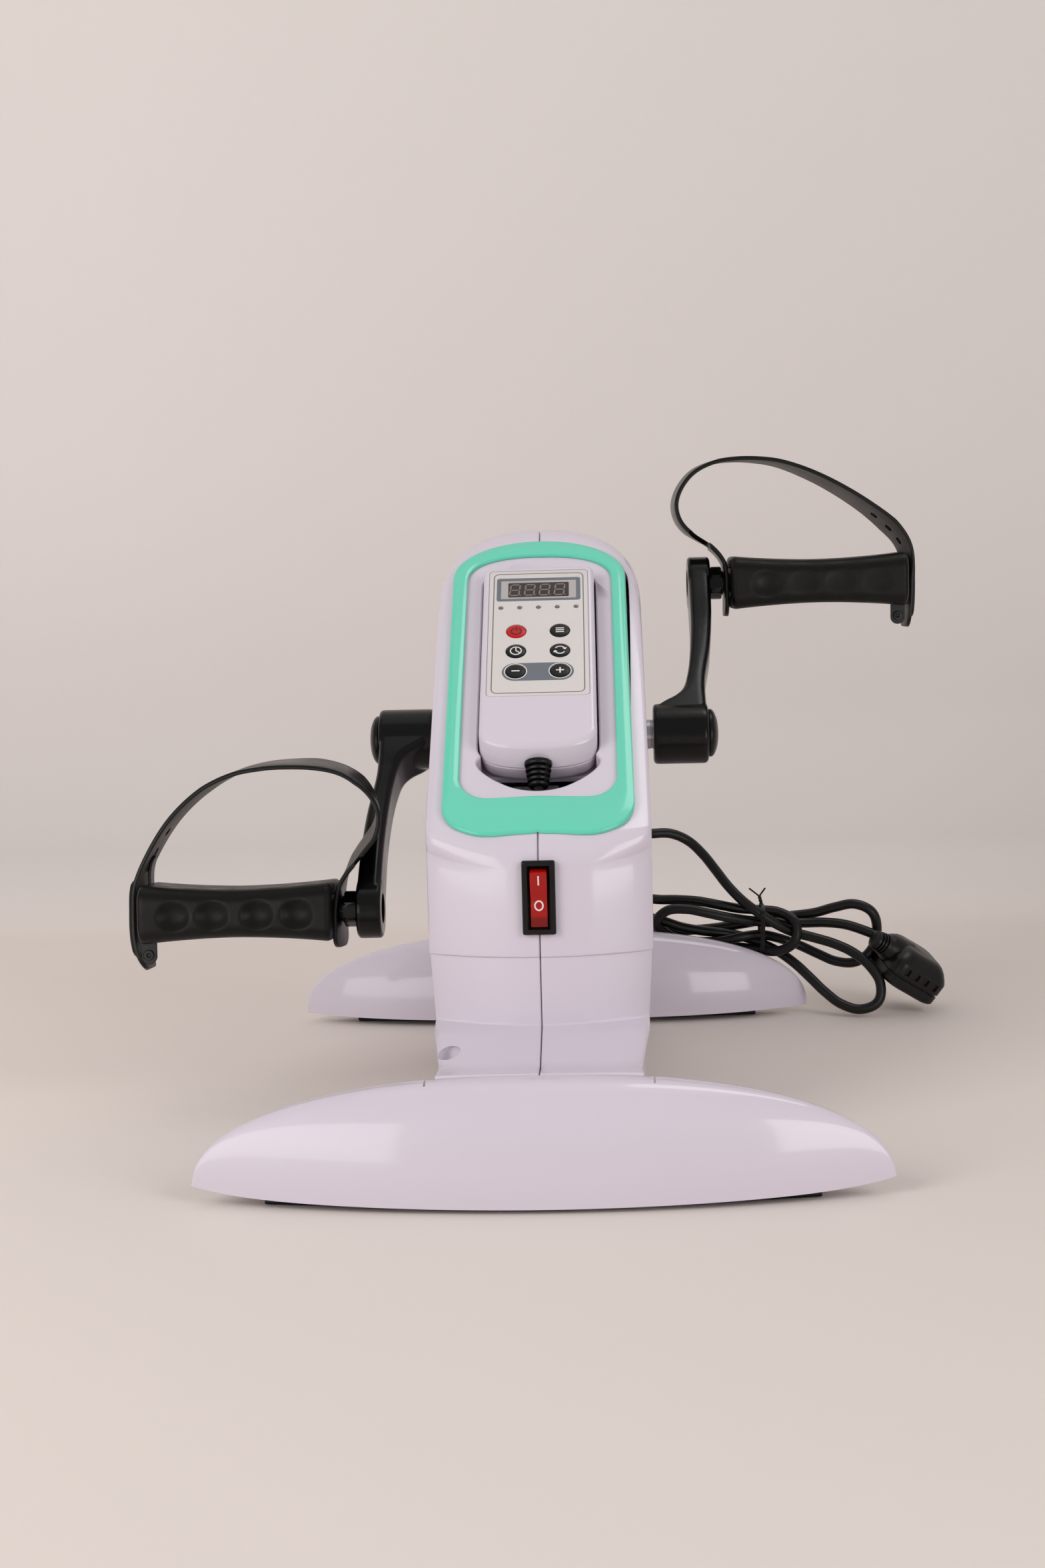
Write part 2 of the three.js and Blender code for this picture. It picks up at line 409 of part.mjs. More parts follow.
const crankCap = (side) => {
  const P = [[82.3, 0], [82.3, 11.2], [84.4, 11.2], [84.4, 12.25], [85.6, 12.2], [87.2, 10.6], [88.5, 7.6], [89.1, 4], [89.3, 0]];
  return turned(side > 0 ? P : P.map(([x, r]) => [-x, r]).reverse(), CRANK_Y, CRANK_Z, 24);
};
const spindle = (side) => {
  const py = CRANK_Y + side * CRANK_DY, pz = CRANK_Z + side * CRANK_DZ;
  const P = [[79.5, 0], [79.5, 6.2], [80.3, 6.9], [90.3, 6.9], [90.3, 8.3], [91, 8.7], [96.0, 8.7], [96.7, 8.0], [96.7, 5], [185.5, 5], [186, 4.5], [186, 0]];
  return turned(side > 0 ? P : P.map(([x, r]) => [-x, r]).reverse(), py, pz, 18);
};

// ---------------------------------------------------------------- pedals
const TILT = { left: -5.5 * Math.PI / 180, right: 0.5 * Math.PI / 180 }; // front edge up on the left
const pedalMat = (side) => {
  const py = CRANK_Y + side * CRANK_DY, pz = CRANK_Z + side * CRANK_DZ;
  return new THREE.Matrix4().makeTranslation(0, py, pz).multiply(new THREE.Matrix4().makeRotationX(side > 0 ? TILT.right : TILT.left));
};
const rr2 = (hy, hz, r, n) => roundRect(-hy, hy, -hz, hz, r, n);
const pedalGrip = (side) => {
  const L = GRIP_OUT - GRIP_IN, rows = [];
  for (const [f, g] of [[0, 1.2], [0.014, 0], [0.12, 0], [0.28, 0], [0.42, 0], [0.58, 0], [0.72, 0], [0.88, 0], [0.986, 0], [1, 1.2]]) {
    const w = Math.pow(Math.abs(2 * f - 1), 1.7);
    const hz = 12.0 + 2.0 * w - g, hy = GRIP_D / 2 - 1.2 + 1.2 * w - g;
    rows.push(rr2(hy, hz, 5.5, 3).map(([a, b]) => [side * (GRIP_IN + L * f), a, b]));
  }
  let m = loft(rows);
  m = cut(m, box(-400, 400, -15.2, 15.2, -8.2, 8.2));
  return place(m, pedalMat(side));
};
const pedalCore = (side) => {
  const X = (a, b, y0, y1, z0, z1) => box(side > 0 ? a : -b, side > 0 ? b : -a, y0, y1, z0, z1);
  const C = (a, b, r, n) => (side > 0 ? cyl('x', a, b, 0, 0, r, n) : cyl('x', -b, -a, 0, 0, r, n));
  let m = X(GRIP_IN + 0.4, GRIP_OUT - 0.2, -14.9, 14.9, -7.9, 7.9);
  m = cut(m, C(90, 188, 5.4, 18));
  m = add(m, C(GRIP_OUT - 1, 199.2, 2.6, 12), C(198.6, 200.6, 4.4, 14));
  return place(m, pedalMat(side));
};
const STRAP = {
  left: [[-191.5, -27], [-195.4, -18.5], [-196.8, -11], [-197, 2], [-196.2, 13], [-190.7, 26.5], [-178.8, 45], [-164, 58.6], [-148.8, 66.6], [-135.5, 69.7], [-121.5, 70.7], [-107, 70], [-95, 66.5], [-86.5, 60.3], [-81.2, 52.5], [-79.6, 45], [-81.8, 37], [-88.4, 28], [-94.2, 19.5], [-97.8, 11.5], [-98.9, 4], [-98.9, -9], [-98.6, -18]],
  right: [[195.6, -26], [196.9, -12], [197.1, 0], [196.9, 10], [194.6, 18.5], [189.5, 26], [178.5, 36], [162, 47.5], [145, 56.8], [128, 63.4], [116, 65.5], [104, 66], [93, 64.7], [81.5, 59.5], [74.2, 50.5], [71.8, 41.8], [74, 33.3], [80.3, 26.3], [89.3, 20.5], [94.8, 15.2], [98.0, 9.8], [98.9, 3], [98.9, -4], [98.9, -12], [98.6, -18]],
};
const strap = (side) => {
  const c = new THREE.CatmullRomCurve3(STRAP[side > 0 ? 'right' : 'left'].map(([x, z]) => new THREE.Vector3(x, 0, z)), false, 'centripetal');
  const P = c.getSpacedPoints(44), t = 1.1, up = [], dn = [];
  P.forEach((p, i) => {
    const a = P[Math.max(0, i - 1)], b = P[Math.min(P.length - 1, i + 1)];
    const d = new THREE.Vector2(b.x - a.x, b.z - a.z).normalize();
    up.push([p.x - d.y * t, p.z + d.x * t]); dn.push([p.x + d.y * t, p.z - d.x * t]);
  });
  const outline = [...up, ...dn.reverse()];
  const g = new THREE.ExtrudeGeometry(shapeOf(outline), { depth: 25, bevelEnabled: false, steps: 1 });
  g.applyMatrix4(new THREE.Matrix4().makeBasis(new THREE.Vector3(1, 0, 0), new THREE.Vector3(0, 0, 1), new THREE.Vector3(0, -1, 0)));
  g.translate(0, 12.5, 0);
  let m = solid(g);
  if (m.volume() < 0) m = solid(flip(g));
  const C = (a, b, r, n) => (side > 0 ? cyl('x', a, b, 0, 0, r, n) : cyl('x', -b, -a, 0, 0, r, n));
  m = cut(m, C(190, 204, 3.1, 10), C(92, 100.4, 5.7, 14));
  // the inner edge keeps clear of the arm at every quarter turn of the pedal
  const py = CRANK_Y + side * CRANK_DY, pz = CRANK_Z + side * CRANK_DZ, arm = crankArm(side, 0.5);
  const turn = (q) => place(arm, new THREE.Matrix4().makeTranslation(0, py, pz).multiply(new THREE.Matrix4().makeRotationX(q * Math.PI / 2)).multiply(new THREE.Matrix4().makeTranslation(0, -py, -pz)));
  return cut(place(m, pedalMat(side)), turn(0), turn(1), turn(2), turn(3));
};

// ---------------------------------------------------------------- console
const half = (hw, b, p, n, up) => { // half of a superellipse, from +x to -x (up) or back
  const out = [];
  for (let i = 0; i <= n; i++) {
    const a = Math.PI * i / n, c = Math.cos(a), s = Math.sin(a);
    out.push([hw * Math.sign(c) * Math.pow(Math.abs(c), 2 / p), b * Math.pow(s, 2 / p)]);
  }
  return up ? out : out.reverse().map(([x, y]) => [x, -y]);
};
const ringOutline = [...half(RING_HW, 27.3, 2, 22, true).map(([x, y]) => [x, y - 27.3]), ...arc(-RING_HW + 19, -RING_LEN + 19, 19, 180, 270, 6), ...arc(RING_HW - 19, -RING_LEN + 19, 19, 270, 360, 6)];
const ringHole = [...half(RING_IN_HW, 20, 2.5, 18, true).map(([x, y]) => [x, y + RING_IN_TOP - 20]), ...arc(-RING_IN_HW + 12, RING_IN_BOT + 12, 12, 180, 270, 5), ...arc(RING_IN_HW - 12, RING_IN_BOT + 12, 12, 270, 360, 5)];
// the ring is a slab whose underside is the shell's surface with a gap of 0.3 mm
const growBody = pillow(filleted(inset(towerMid, -0.3), towerSplit), filleted(inset(towerSide, -0.3), towerSplit), HW + 0.3, towerQ, FINE);
const consoleRing = (() => {
  const m = cut(con(prismZ(ringOutline, -6, 0, [ringHole])), growBody,
    con(prismZ(roundRect(-OPEN.hw - 0.3, OPEN.hw + 0.3, OPEN.bot - 0.3, OPEN.top + 0.3, 15, 5), -12, -1.5)));
  return biggest(m);
})();
const handsetOutline = (hw, top, bot, r) => [...arc(hw - r, top - r, r, 0, 90, 3), ...arc(-hw + r, top - r, r, 90, 180, 3), ...half(hw, 13, 2.6, 12, false).map(([x, y]) => [x, y + bot + 13])];
const pocketOutline = (d) => [...arc(28 + d - 4, -27.0 + d - 4, 4, 0, 90, 3), ...arc(-28 - d + 4, -27.0 + d - 4, 4, 90, 180, 3), ...arc(0, -147, 28 + d, 180, 360, 16)];
const trayOutline = roundRect(-OPEN.hw + 0.35, OPEN.hw - 0.35, OPEN.bot + 0.35, OPEN.top - 0.35, 14.7, 5);
const consoleTray = con(cut(
  add(prismZ(trayOutline, -4.6, -1.8), prismZ(pocketOutline(2.2), -18, -3)),
  prismZ(pocketOutline(0), -15.5, 2),
  prismZ(roundRect(-13, 13, -174.2, -152, 6, 3), -22, 2)));

// handset: h from -14.5 (back) to 6.5 (face)
const HS = { hw: 27.2, top: -27.7, bot: -158 };
const buttons = {
  power_button: [-10.6, -76.2], mode_button: [10.4, -76.2], time_button: [-10.6, -90.4],
  direction_button: [10.4, -90.4], minus_button: [-10.6, -104.5], plus_button: [10.4, -104.5],
};
const DISPLAY = { x: 15, s0: -51.5, s1: -38.7 };
const LABEL = { x: 24.1, s0: -121.2, s1: -31.3 };
const face = handsetOutline(HS.hw, HS.top, HS.bot, 4);
const faceIn = handsetOutline(HS.hw - 0.9, HS.top - 0.9, HS.bot + 0.9, 3.2);
const handsetFront = con((() => {
  const lift = (pts, h) => pts.map(([x, y]) => [x, y, h]);
  let m = loft([lift(face, -4.7), lift(face, 5.2), lift(faceIn, 6.5)]);
  m = cut(m, prismZ(handsetOutline(HS.hw - 2.2, HS.top - 2.2, HS.bot + 2.2, 2), -8, 3.9));
  m = cut(m, prismZ(roundRect(-LABEL.x - 0.3, LABEL.x + 0.3, LABEL.s0 - 0.3, LABEL.s1 + 0.3, 2, 2), 5.7, 8));
  m = cut(m, prismZ(roundRect(-DISPLAY.x - 0.6, DISPLAY.x + 0.6, DISPLAY.s0 - 0.6, DISPLAY.s1 + 0.6, 0.8, 1), 0, 8));
  for (const [x, s] of Object.values(buttons)) m = cut(m, cyl('z', 0, 8, x, s, 5.1, 16));
  return m;
})());
const handsetBack = con((() => {
  const lift = (pts, h) => pts.map(([x, y]) => [x, y, h]);
  const low = handsetOutline(HS.hw - 2.6, HS.top - 2.6, HS.bot + 2.6, 3);
  const mid = handsetOutline(HS.hw - 0.7, HS.top - 0.7, HS.bot + 0.7, 3.6);
  let m = loft([lift(low, -14.5), lift(mid, -12.8), lift(face, -5.0)]);
  return cut(m, prismZ(handsetOutline(HS.hw - 2.9, HS.top - 2.9, HS.bot + 2.9, 2), -12.3, 0));
})());
const handsetLabel = con((() => {
  const hole = (x, s, r, n) => Array.from({ length: n }, (_, i) => [x + r * Math.cos(-2 * Math.PI * i / n), s + r * Math.sin(-2 * Math.PI * i / n)]);
  const win = roundRect(-DISPLAY.x, DISPLAY.x, DISPLAY.s0, DISPLAY.s1, 0.8, 1).reverse();
  return prismZ(roundRect(-LABEL.x, LABEL.x, LABEL.s0, LABEL.s1, 2, 2), 5.95, 6.45, [win, ...Object.values(buttons).map(([x, s]) => hole(x, s, 5.1, 16))]);
})());
const ledDisplay = con(box(-DISPLAY.x + 0.2, DISPLAY.x - 0.2, DISPLAY.s0 + 0.2, DISPLAY.s1 - 0.2, 2.2, 5.6));
const handsetBoard = con(add(box(-22.5, 22.5, -138, -34, 0, 1.6), ...Object.values(buttons).map(([x, s]) => box(x - 3, x + 3, s - 3, s + 3, 1.4, 1.95))));
const button = (name) => {
  const [x, s] = buttons[name];
  const g = new THREE.LatheGeometry([[0, 2.5], [5.7, 2.5], [5.7, 3.4], [4.8, 3.4], [4.8, 6.75], [4.35, 7.15], [0, 7.3]].map(([r, z]) => new THREE.Vector2(r, z)), 16);
  g.rotateX(Math.PI / 2);
  g.translate(x, s, 0);
  let m = solid(g);
  if (m.volume() < 0) m = solid(flip(g));
  return con(m);
};
// strain relief and lead of the handset: out of its lower end and down into the body
const tube = (pts, r, n, steps) => {
  const curve = new THREE.CatmullRomCurve3(pts.map((p) => new THREE.Vector3(...p)), false, 'centripetal');
  const s = new THREE.Shape(Array.from({ length: n }, (_, i) => new THREE.Vector2(r * Math.cos(2 * Math.PI * i / n), r * Math.sin(2 * Math.PI * i / n))));
  const g = new THREE.ExtrudeGeometry(s, { steps, extrudePath: curve, bevelEnabled: false });
  let m = solid(g);
  if (m.volume() < 0) m = solid(flip(g));
  return m;
};
const strainDir = new THREE.Vector3(0, -1, -0.36).normalize();
const cone = (from, dir, len, r0, r1, n) => {
  const g = new THREE.CylinderGeometry(r1, r0, len, n);
  g.applyQuaternion(new THREE.Quaternion().setFromUnitVectors(new THREE.Vector3(0, 1, 0), dir));
  g.translate(from.x + dir.x * len / 2, from.y + dir.y * len / 2, from.z + dir.z * len / 2);
  return solid(g);
};
const reliefStart = new THREE.Vector3(0, -156.5, -3.4), reliefLen = 11.5;
const handsetRelief = cut(con(cone(reliefStart, strainDir, reliefLen, 6.4, 4.3, 16)), con(loft([handsetOutline(HS.hw + 0.3, HS.top + 0.3, HS.bot - 0.3, 4).map(([x, y]) => [x, y, -14.8]), handsetOutline(HS.hw + 0.3, HS.top + 0.3, HS.bot - 0.3, 4).map(([x, y]) => [x, y, 8])])));
const relEnd = reliefStart.clone().addScaledVector(strainDir, reliefLen + 0.4);
const handsetLead = con(tube([[0, 0, 0], [0, -1.3, -0.5], [0, -2.2, -2.2], [0, -2.5, -6], [0, -2.5, -15], [0, -2.5, -27], [0, -2.5, -39]].map(([x, y, z]) => [x, relEnd.y + y, relEnd.z + z]), 2.3, 8, 14));

// ---------------------------------------------------------------- switch
const switchBezel = (() => {
  const z = SWITCH_Z, w = 7.35, h = 16.4;
  let m = add(box(-w, w, -118.75, -116.95, z - h, z + h), box(-6.0, 6.0, -117.5, -94, z - 14.2, z + 14.2));
  for (const dz of [-9, 0, 9]) m = add(m, box(-2.4, 2.4, -94.5, -87.5, z + dz - 0.5, z + dz + 0.5));
  return cut(m, box(-4.1, 4.1, -125, -106, z - 13.5, z + 13.5));
})();
const ROCK_Y = -113.8, ROCK_TILT = 9 * Math.PI / 180;
const rocker = (() => {
  const P = [[-5.5, 12.4], [-4.0, 0], [-5.5, -12.4], [0.4, -12.6], [4.2, -5], [4.2, 5], [0.4, 12.6]];
  const c = Math.cos(ROCK_TILT), s = Math.sin(ROCK_TILT);
  return prismX(P.map(([y, z]) => [ROCK_Y + y * c - z * s, SWITCH_Z + y * s + z * c]), -3.7, 3.7);
})();

// ---------------------------------------------------------------- electrics
const controlBoard = add(box(-34, 34, -100, -34, 49.5, 51.1), box(-28, -24, -96, -92, 40.95, 50), box(24, 28, -96, -92, 40.95, 50), box(-28, -24, -42, -38, 40.95, 50), box(24, 28, -42, -38, 40.95, 50),
  cyl('z', 51, 74, -20, -80, 9, 14), box(-6, 16, -92, -70, 51, 66), box(18, 28, -88, -50, 51, 72), box(-28, -8, -62, -44, 51, 60));
const powerTransformer = add(box(-15.4, 15.4, 26, 72, 41.2, 46), box(-24, 24, 34, 64, 45, 85), box(-16, 16, 27, 71, 52, 79));

// ---------------------------------------------------------------- screws, gland, cord
const shellScrew = ([y, z]) => turned([[-11, 0], [-11, 1.2], [-9.5, 1.5], [34.2, 1.5], [34.2, 3.5], [36.2, 3.5], [36.7, 2.6], [36.7, 0]].map(([x, r]) => [x, r]), y, z, 10);
const cableGland = (() => {
  const g = new THREE.LatheGeometry([[3.2, 98.5], [5.6, 98.5], [5.6, BACK_Y + 0.4], [8.2, BACK_Y + 0.4], [8.2, BACK_Y + 2.6], [6.0, BACK_Y + 4.0], [4.2, BACK_Y + 30], [3.2, BACK_Y + 30], [3.2, 98.5]].map(([r, y]) => new THREE.Vector2(r, y)), 16);
  g.translate(GLAND_X, 0, GLAND_Z);
  let m = solid(g);
  if (m.volume() < 0) m = solid(flip(g));
  return m;
})();
// gland bore holds the cord; the free tube starts at the gland's outer end
// route of the free lead, from the gland to the plug
const CORD = [
  [12, 133.6, 98], [12.3, 145.6, 98.5], [14.9, 157.2, 99.7], [19.6, 168.3, 101], [25.6, 178.6, 102.1], [34.5, 184.6, 103.2], [46.1, 184.5, 104.4], [58, 184.2, 105.7],
  [69.4, 187, 105.2], [79.7, 188.5, 100.5], [88.2, 186.3, 92.6], [95.3, 182.4, 83.6], [102.1, 177.9, 74.8], [110, 173.6, 66.8], [119.2, 171.5, 59.6], [128.9, 172.9, 52.9],
  [139.4, 176.1, 47.2], [151.2, 174.2, 44], [162.6, 171.2, 40.8], [173.2, 168, 36], [182.2, 164.3, 28.7], [187.9, 161, 18.7], [186.2, 158.7, 8.7], [176.6, 158.3, 4.5],
  [165.4, 160.7, 7.2], [156.2, 165.3, 13.8], [148.4, 170.8, 21.2], [140.6, 176.7, 28.2], [131.7, 181.9, 34.3], [121.5, 185.1, 39.2], [110.2, 185.2, 43.5], [98.3, 184, 46],
  [86.4, 183.8, 47.6], [74.8, 183.4, 50], [63.5, 183.3, 54], [52.1, 185, 56.4], [40.8, 187.2, 54.7], [29.1, 188.6, 51.6], [17.3, 189.1, 52.5], [7.9, 189, 59.3],
  [6.6, 188.5, 69.5], [14.7, 187.5, 76.7], [26.5, 186.6, 77.2], [38, 185.3, 73.4], [49.1, 183.8, 69], [60.7, 182.6, 66.9], [72.6, 181.3, 66.7], [84.5, 179.8, 65.9],
  [96.2, 178.7, 63.7], [107.9, 178.7, 61.3], [120, 179.4, 60.1], [132, 178.2, 58.6], [140.7, 173.1, 52.7], [140, 170.9, 42.8], [131.3, 174.9, 36.4], [120.2, 179.8, 36.1],
  [109, 184.4, 37.1], [97.7, 188.1, 36.6], [85.9, 190.3, 36.2], [73.9, 191.5, 36.4], [62, 192.6, 36.5], [50.4, 193.8, 34.6], [38.7, 194.8, 31.6], [26.6, 195.8, 31],
  [15.7, 196.4, 35.4], [10.7, 196.6, 44.8], [15.3, 196.5, 54.3], [26.2, 195.9, 57.8], [38.2, 195.1, 55.8], [49.2, 193.9, 51.4], [59.4, 192.4, 46.8], [70.7, 191.4, 46.3],
  [82.7, 190.5, 46.9], [94.7, 189.7, 48], [106.5, 188.6, 49.7], [118.2, 188.5, 51.6], [130, 189.4, 53.5], [141.9, 189.3, 54.7], [153.5, 187.4, 56.4], [165, 184.9, 59.9],
  [176.5, 182.4, 61.9], [185.9, 180.6, 57.5], [189, 181.6, 46.4], [185.2, 179.7, 34.9], [176.4, 179.4, 28.2], [165.5, 182.5, 28], [154.6, 186.3, 32.2], [143.9, 188.5, 37.1],
  [132.9, 187.1, 41.4], [121.8, 182.8, 44.6], [110.4, 179.2, 44.4], [98.9, 179.4, 42.2], [87.2, 182.4, 41.1], [75.2, 183.6, 42.4], [64.4, 181.4, 47.4], [59.7, 176, 54.5],
  [65.6, 173.2, 61.4], [77.2, 172.4, 62.5], [89.3, 172.3, 60], [101, 173.3, 57.1], [112.2, 176.3, 54.6], [123.4, 180.2, 52.7], [135, 182.9, 51.5], [146.9, 183.3, 51.2],
  [158.8, 182, 51.4], [170.5, 180.3, 50.2], [181.7, 178, 46.7], [192.5, 175, 42.3],
];
const CORD_FREE = 12;       // the points before this one lie outside the hank
const cordPath = CORD.slice(0, CORD_FREE + 1);
const mainsCord = tube(cordPath, CORD_R, 8, 20);
// side-entry moulded plug with three flat pins, lying on the floor
const plugMat = new THREE.Matrix4().makeTranslation(207, 178, 26).multiply(new THREE.Matrix4().makeRotationFromEuler(new THREE.Euler(0.12, 0.62, 0.30, 'XYZ')));
const mainsPlug = (grow) => {
  const lift = (pts, z) => pts.map(([x, y]) => [x, y, z]);
  const R = (hx, hy, r) => roundRect(-hx - grow, hx + grow, -hy - grow, hy + grow, r, 3);
  let m = loft([lift(R(16, 17, 7), -12.5 - grow), lift(R(18.5, 19.5, 7), -11), lift(R(18.5, 19.5, 7), 3), lift(R(15, 15.5, 6), 9), lift(R(11, 11, 5), 11 + grow)]);
  const neck = new THREE.CylinderGeometry(5.2 + grow, 8.5 + grow, 14, 14);
  neck.rotateZ(Math.PI / 2);
  neck.translate(-23, 0, 3);
  m = add(m, solid(neck));
  return place(m, plugMat);
};
// the hank: at each station along X, the outline round the strands that pass there
const strands = new THREE.CatmullRomCurve3(CORD.slice(CORD_FREE).map((p) => new THREE.Vector3(...p)), false, 'centripetal').getSpacedPoints(700);
const hankRing = (x, grow, n = 16) => {
  const near = strands.filter((p) => Math.abs(p.x - x) < 8), h = [], out = [];
  for (let k = 0; k < n; k++) {
    const w = 2 * Math.PI * (k + 0.5) / n;
    h.push(Math.max(...near.map((p) => p.y * Math.cos(w) + p.z * Math.sin(w))) + CORD_R + grow);
  }
  for (let k = 0; k < n; k++) {
    const a = 2 * Math.PI * (k + 0.5) / n, b = 2 * Math.PI * (k + 1.5) / n, h1 = h[(k + 1) % n];
    const det = Math.sin(b - a);
    out.push([(h[k] * Math.sin(b) - h1 * Math.sin(a)) / det, (h1 * Math.cos(a) - h[k] * Math.cos(b)) / det]);
  }
  return out;
};
const cordHank = (() => {
  const xs = [4.5, 14, 24, 34, 44, 54, 64, 74, 84, 94, 104, 114, 124, 134, 144, 154, 164, 174, 184, 194.5];
  const m = loft(xs.map((x) => hankRing(x, 0.1).map(([y, z]) => [x, y, z])));
  return biggest(cut(m, box(-200, 300, 100, 300, -50, 1.2), footDome(0.5, null, 22, 14, 1), legCut, mainsPlug(0.5), tube(cordPath, CORD_R + 0.5, 8, 20)));
})();
const cordTie = biggest(cut(prismX(hankRing(121.5, 1.7), 120.8, 122.2, [hankRing(121.5, 0.7).reverse()]), footDome(0.3, null, 22, 14, 1), legCut, cordHank));
// ---------------------------------------------------------------- scene
const LILAC = 0xcdc4d0, MINT = 0x78d7be, BLACK = 0x151514, STEEL = 0x9a9ca0;
const mats = {
  lilac: [LILAC, 0.25, 0], mint: [MINT, 0.3, 0], black: [BLACK, 0.55, 0], gloss: [0x0c0c0c, 0.25, 0], steel: [STEEL, 0.4, 0.9],
  rubber: [0x1a1a19, 0.8, 0], label: [0xdcd6d6, 0.45, 0], red: [0xb4140a, 0.3, 0], board: [0x2f6b3a, 0.6, 0], copper: [0x8a5a30, 0.5, 0.3], nylon: [0xd8d4c8, 0.6, 0],
};
const object = new THREE.Group();
object.name = 'mini_exercise_bike';
const groups = {};
const node = (group, name, m, mat) => {
  if (!groups[group]) { groups[group] = new THREE.Group(); groups[group].name = group; object.add(groups[group]); }
  const [color, roughness, metalness] = mats[mat];
  const mesh = new THREE.Mesh(geometry(m), new THREE.MeshStandardMaterial({ color, roughness, metalness }));
  mesh.name = name;
  groups[group].add(mesh);
};
node('base', 'left_body_shell', leftShell, 'lilac');
node('base', 'right_body_shell', rightShell, 'lilac');
node('base', 'front_foot_cover', footCover(-1), 'lilac');
node('base', 'rear_foot_cover', footCover(1), 'lilac');
node('base', 'front_foot_bar', footBar(-1), 'steel');
node('base', 'rear_foot_bar', footBar(1), 'steel');
node('base', 'base_rail', rail, 'steel');
node('base', 'left_side_plate', plate(-1), 'steel');
node('base', 'right_side_plate', plate(1), 'steel');
node('base', 'bearing_left', bearing(-1), 'steel');
node('base', 'bearing_right', bearing(1), 'steel');
node('base', 'gear_motor', gearMotor, 'steel');
node('base', 'power_transformer', powerTransformer, 'copper');
node('base', 'control_board', controlBoard, 'board');
for (const [sx, a] of [[-1, 'left'], [1, 'right']]) for (const [sy, b] of [[-1, 'front'], [1, 'rear']]) node('base', `${b}_pad_${a}`, pad(sx, sy), 'rubber');
node('base', 'console_ring', consoleRing, 'mint');
node('base', 'console_tray', consoleTray, 'lilac');
node('base', 'switch_bezel', switchBezel, 'black');
node('base', 'cable_gland', cableGland, 'rubber');
for (const [k, v] of Object.entries(screws)) node('base', `shell_screw_${k}`, shellScrew(v), 'steel');
node('base', 'mains_cord', mainsCord, 'rubber');
node('base', 'cord_hank', cordHank, 'rubber');
node('base', 'cord_tie', cordTie, 'rubber');
node('base', 'mains_plug', mainsPlug(0), 'rubber');
node('crank', 'crankshaft', crankshaft, 'steel');
node('crank', 'crank_arm_left', crankArm(-1), 'gloss');
node('crank', 'crank_arm_right', crankArm(1), 'gloss');
node('crank', 'crank_bolt_left', crankBolt(-1), 'steel');
node('crank', 'crank_bolt_right', crankBolt(1), 'steel');
node('crank', 'crank_cap_left', crankCap(-1), 'black');
node('crank', 'crank_cap_right', crankCap(1), 'black');
node('crank', 'drive_gear', driveGear, 'nylon');
node('crank', 'pedal_spindle_left', spindle(-1), 'steel');
node('crank', 'pedal_spindle_right', spindle(1), 'steel');
node('motor_output', 'motor_pinion', motorPinion, 'nylon');
node('pedal_left', 'pedal_core_left', pedalCore(-1), 'black');
node('pedal_left', 'pedal_grip_left', pedalGrip(-1), 'rubber');
node('pedal_left', 'pedal_strap_left', strap(-1), 'rubber');
node('pedal_right', 'pedal_core_right', pedalCore(1), 'black');
node('pedal_right', 'pedal_grip_right', pedalGrip(1), 'rubber');
node('pedal_right', 'pedal_strap_right', strap(1), 'rubber');
node('rocker', 'switch_rocker', rocker, 'red');
node('handset', 'handset_front_shell', handsetFront, 'lilac');
node('handset', 'handset_back_shell', handsetBack, 'lilac');
node('handset', 'handset_label', handsetLabel, 'label');
node('handset', 'led_display', ledDisplay, 'black');
node('handset', 'handset_board', handsetBoard, 'board');
node('handset', 'handset_strain_relief', handsetRelief, 'rubber');
node('handset', 'handset_lead', handsetLead, 'rubber');
for (const name of Object.keys(buttons)) node(name, name, button(name), name === 'power_button' ? 'red' : 'gloss');

export default object;
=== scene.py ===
import json
import math
import bpy
import numpy as np
from mathutils import Matrix, Vector
from mathutils.bvhtree import BVHTree


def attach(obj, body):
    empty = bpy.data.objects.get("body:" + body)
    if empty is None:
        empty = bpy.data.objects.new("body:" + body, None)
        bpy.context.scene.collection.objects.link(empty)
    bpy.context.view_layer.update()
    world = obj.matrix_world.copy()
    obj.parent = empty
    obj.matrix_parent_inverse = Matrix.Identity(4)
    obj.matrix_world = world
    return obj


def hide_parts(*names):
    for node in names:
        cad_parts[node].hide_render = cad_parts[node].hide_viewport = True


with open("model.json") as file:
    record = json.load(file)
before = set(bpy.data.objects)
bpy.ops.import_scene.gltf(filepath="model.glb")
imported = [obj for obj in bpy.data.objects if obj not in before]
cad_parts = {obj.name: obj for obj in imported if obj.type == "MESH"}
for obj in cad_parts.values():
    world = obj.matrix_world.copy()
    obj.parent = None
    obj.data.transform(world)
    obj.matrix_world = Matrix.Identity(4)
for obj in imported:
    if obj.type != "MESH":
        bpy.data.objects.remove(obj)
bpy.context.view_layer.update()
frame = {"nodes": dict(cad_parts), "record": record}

MM = 0.001
scene = bpy.context.scene
NODES = frame["nodes"]


# ---------------------------------------------------------------- camera
def srgb(r, g, b):
    f = lambda c: c / 12.92 if c <= 0.04045 else ((c + 0.055) / 1.055) ** 2.4
    return (f(r / 255), f(g / 255), f(b / 255), 1.0)


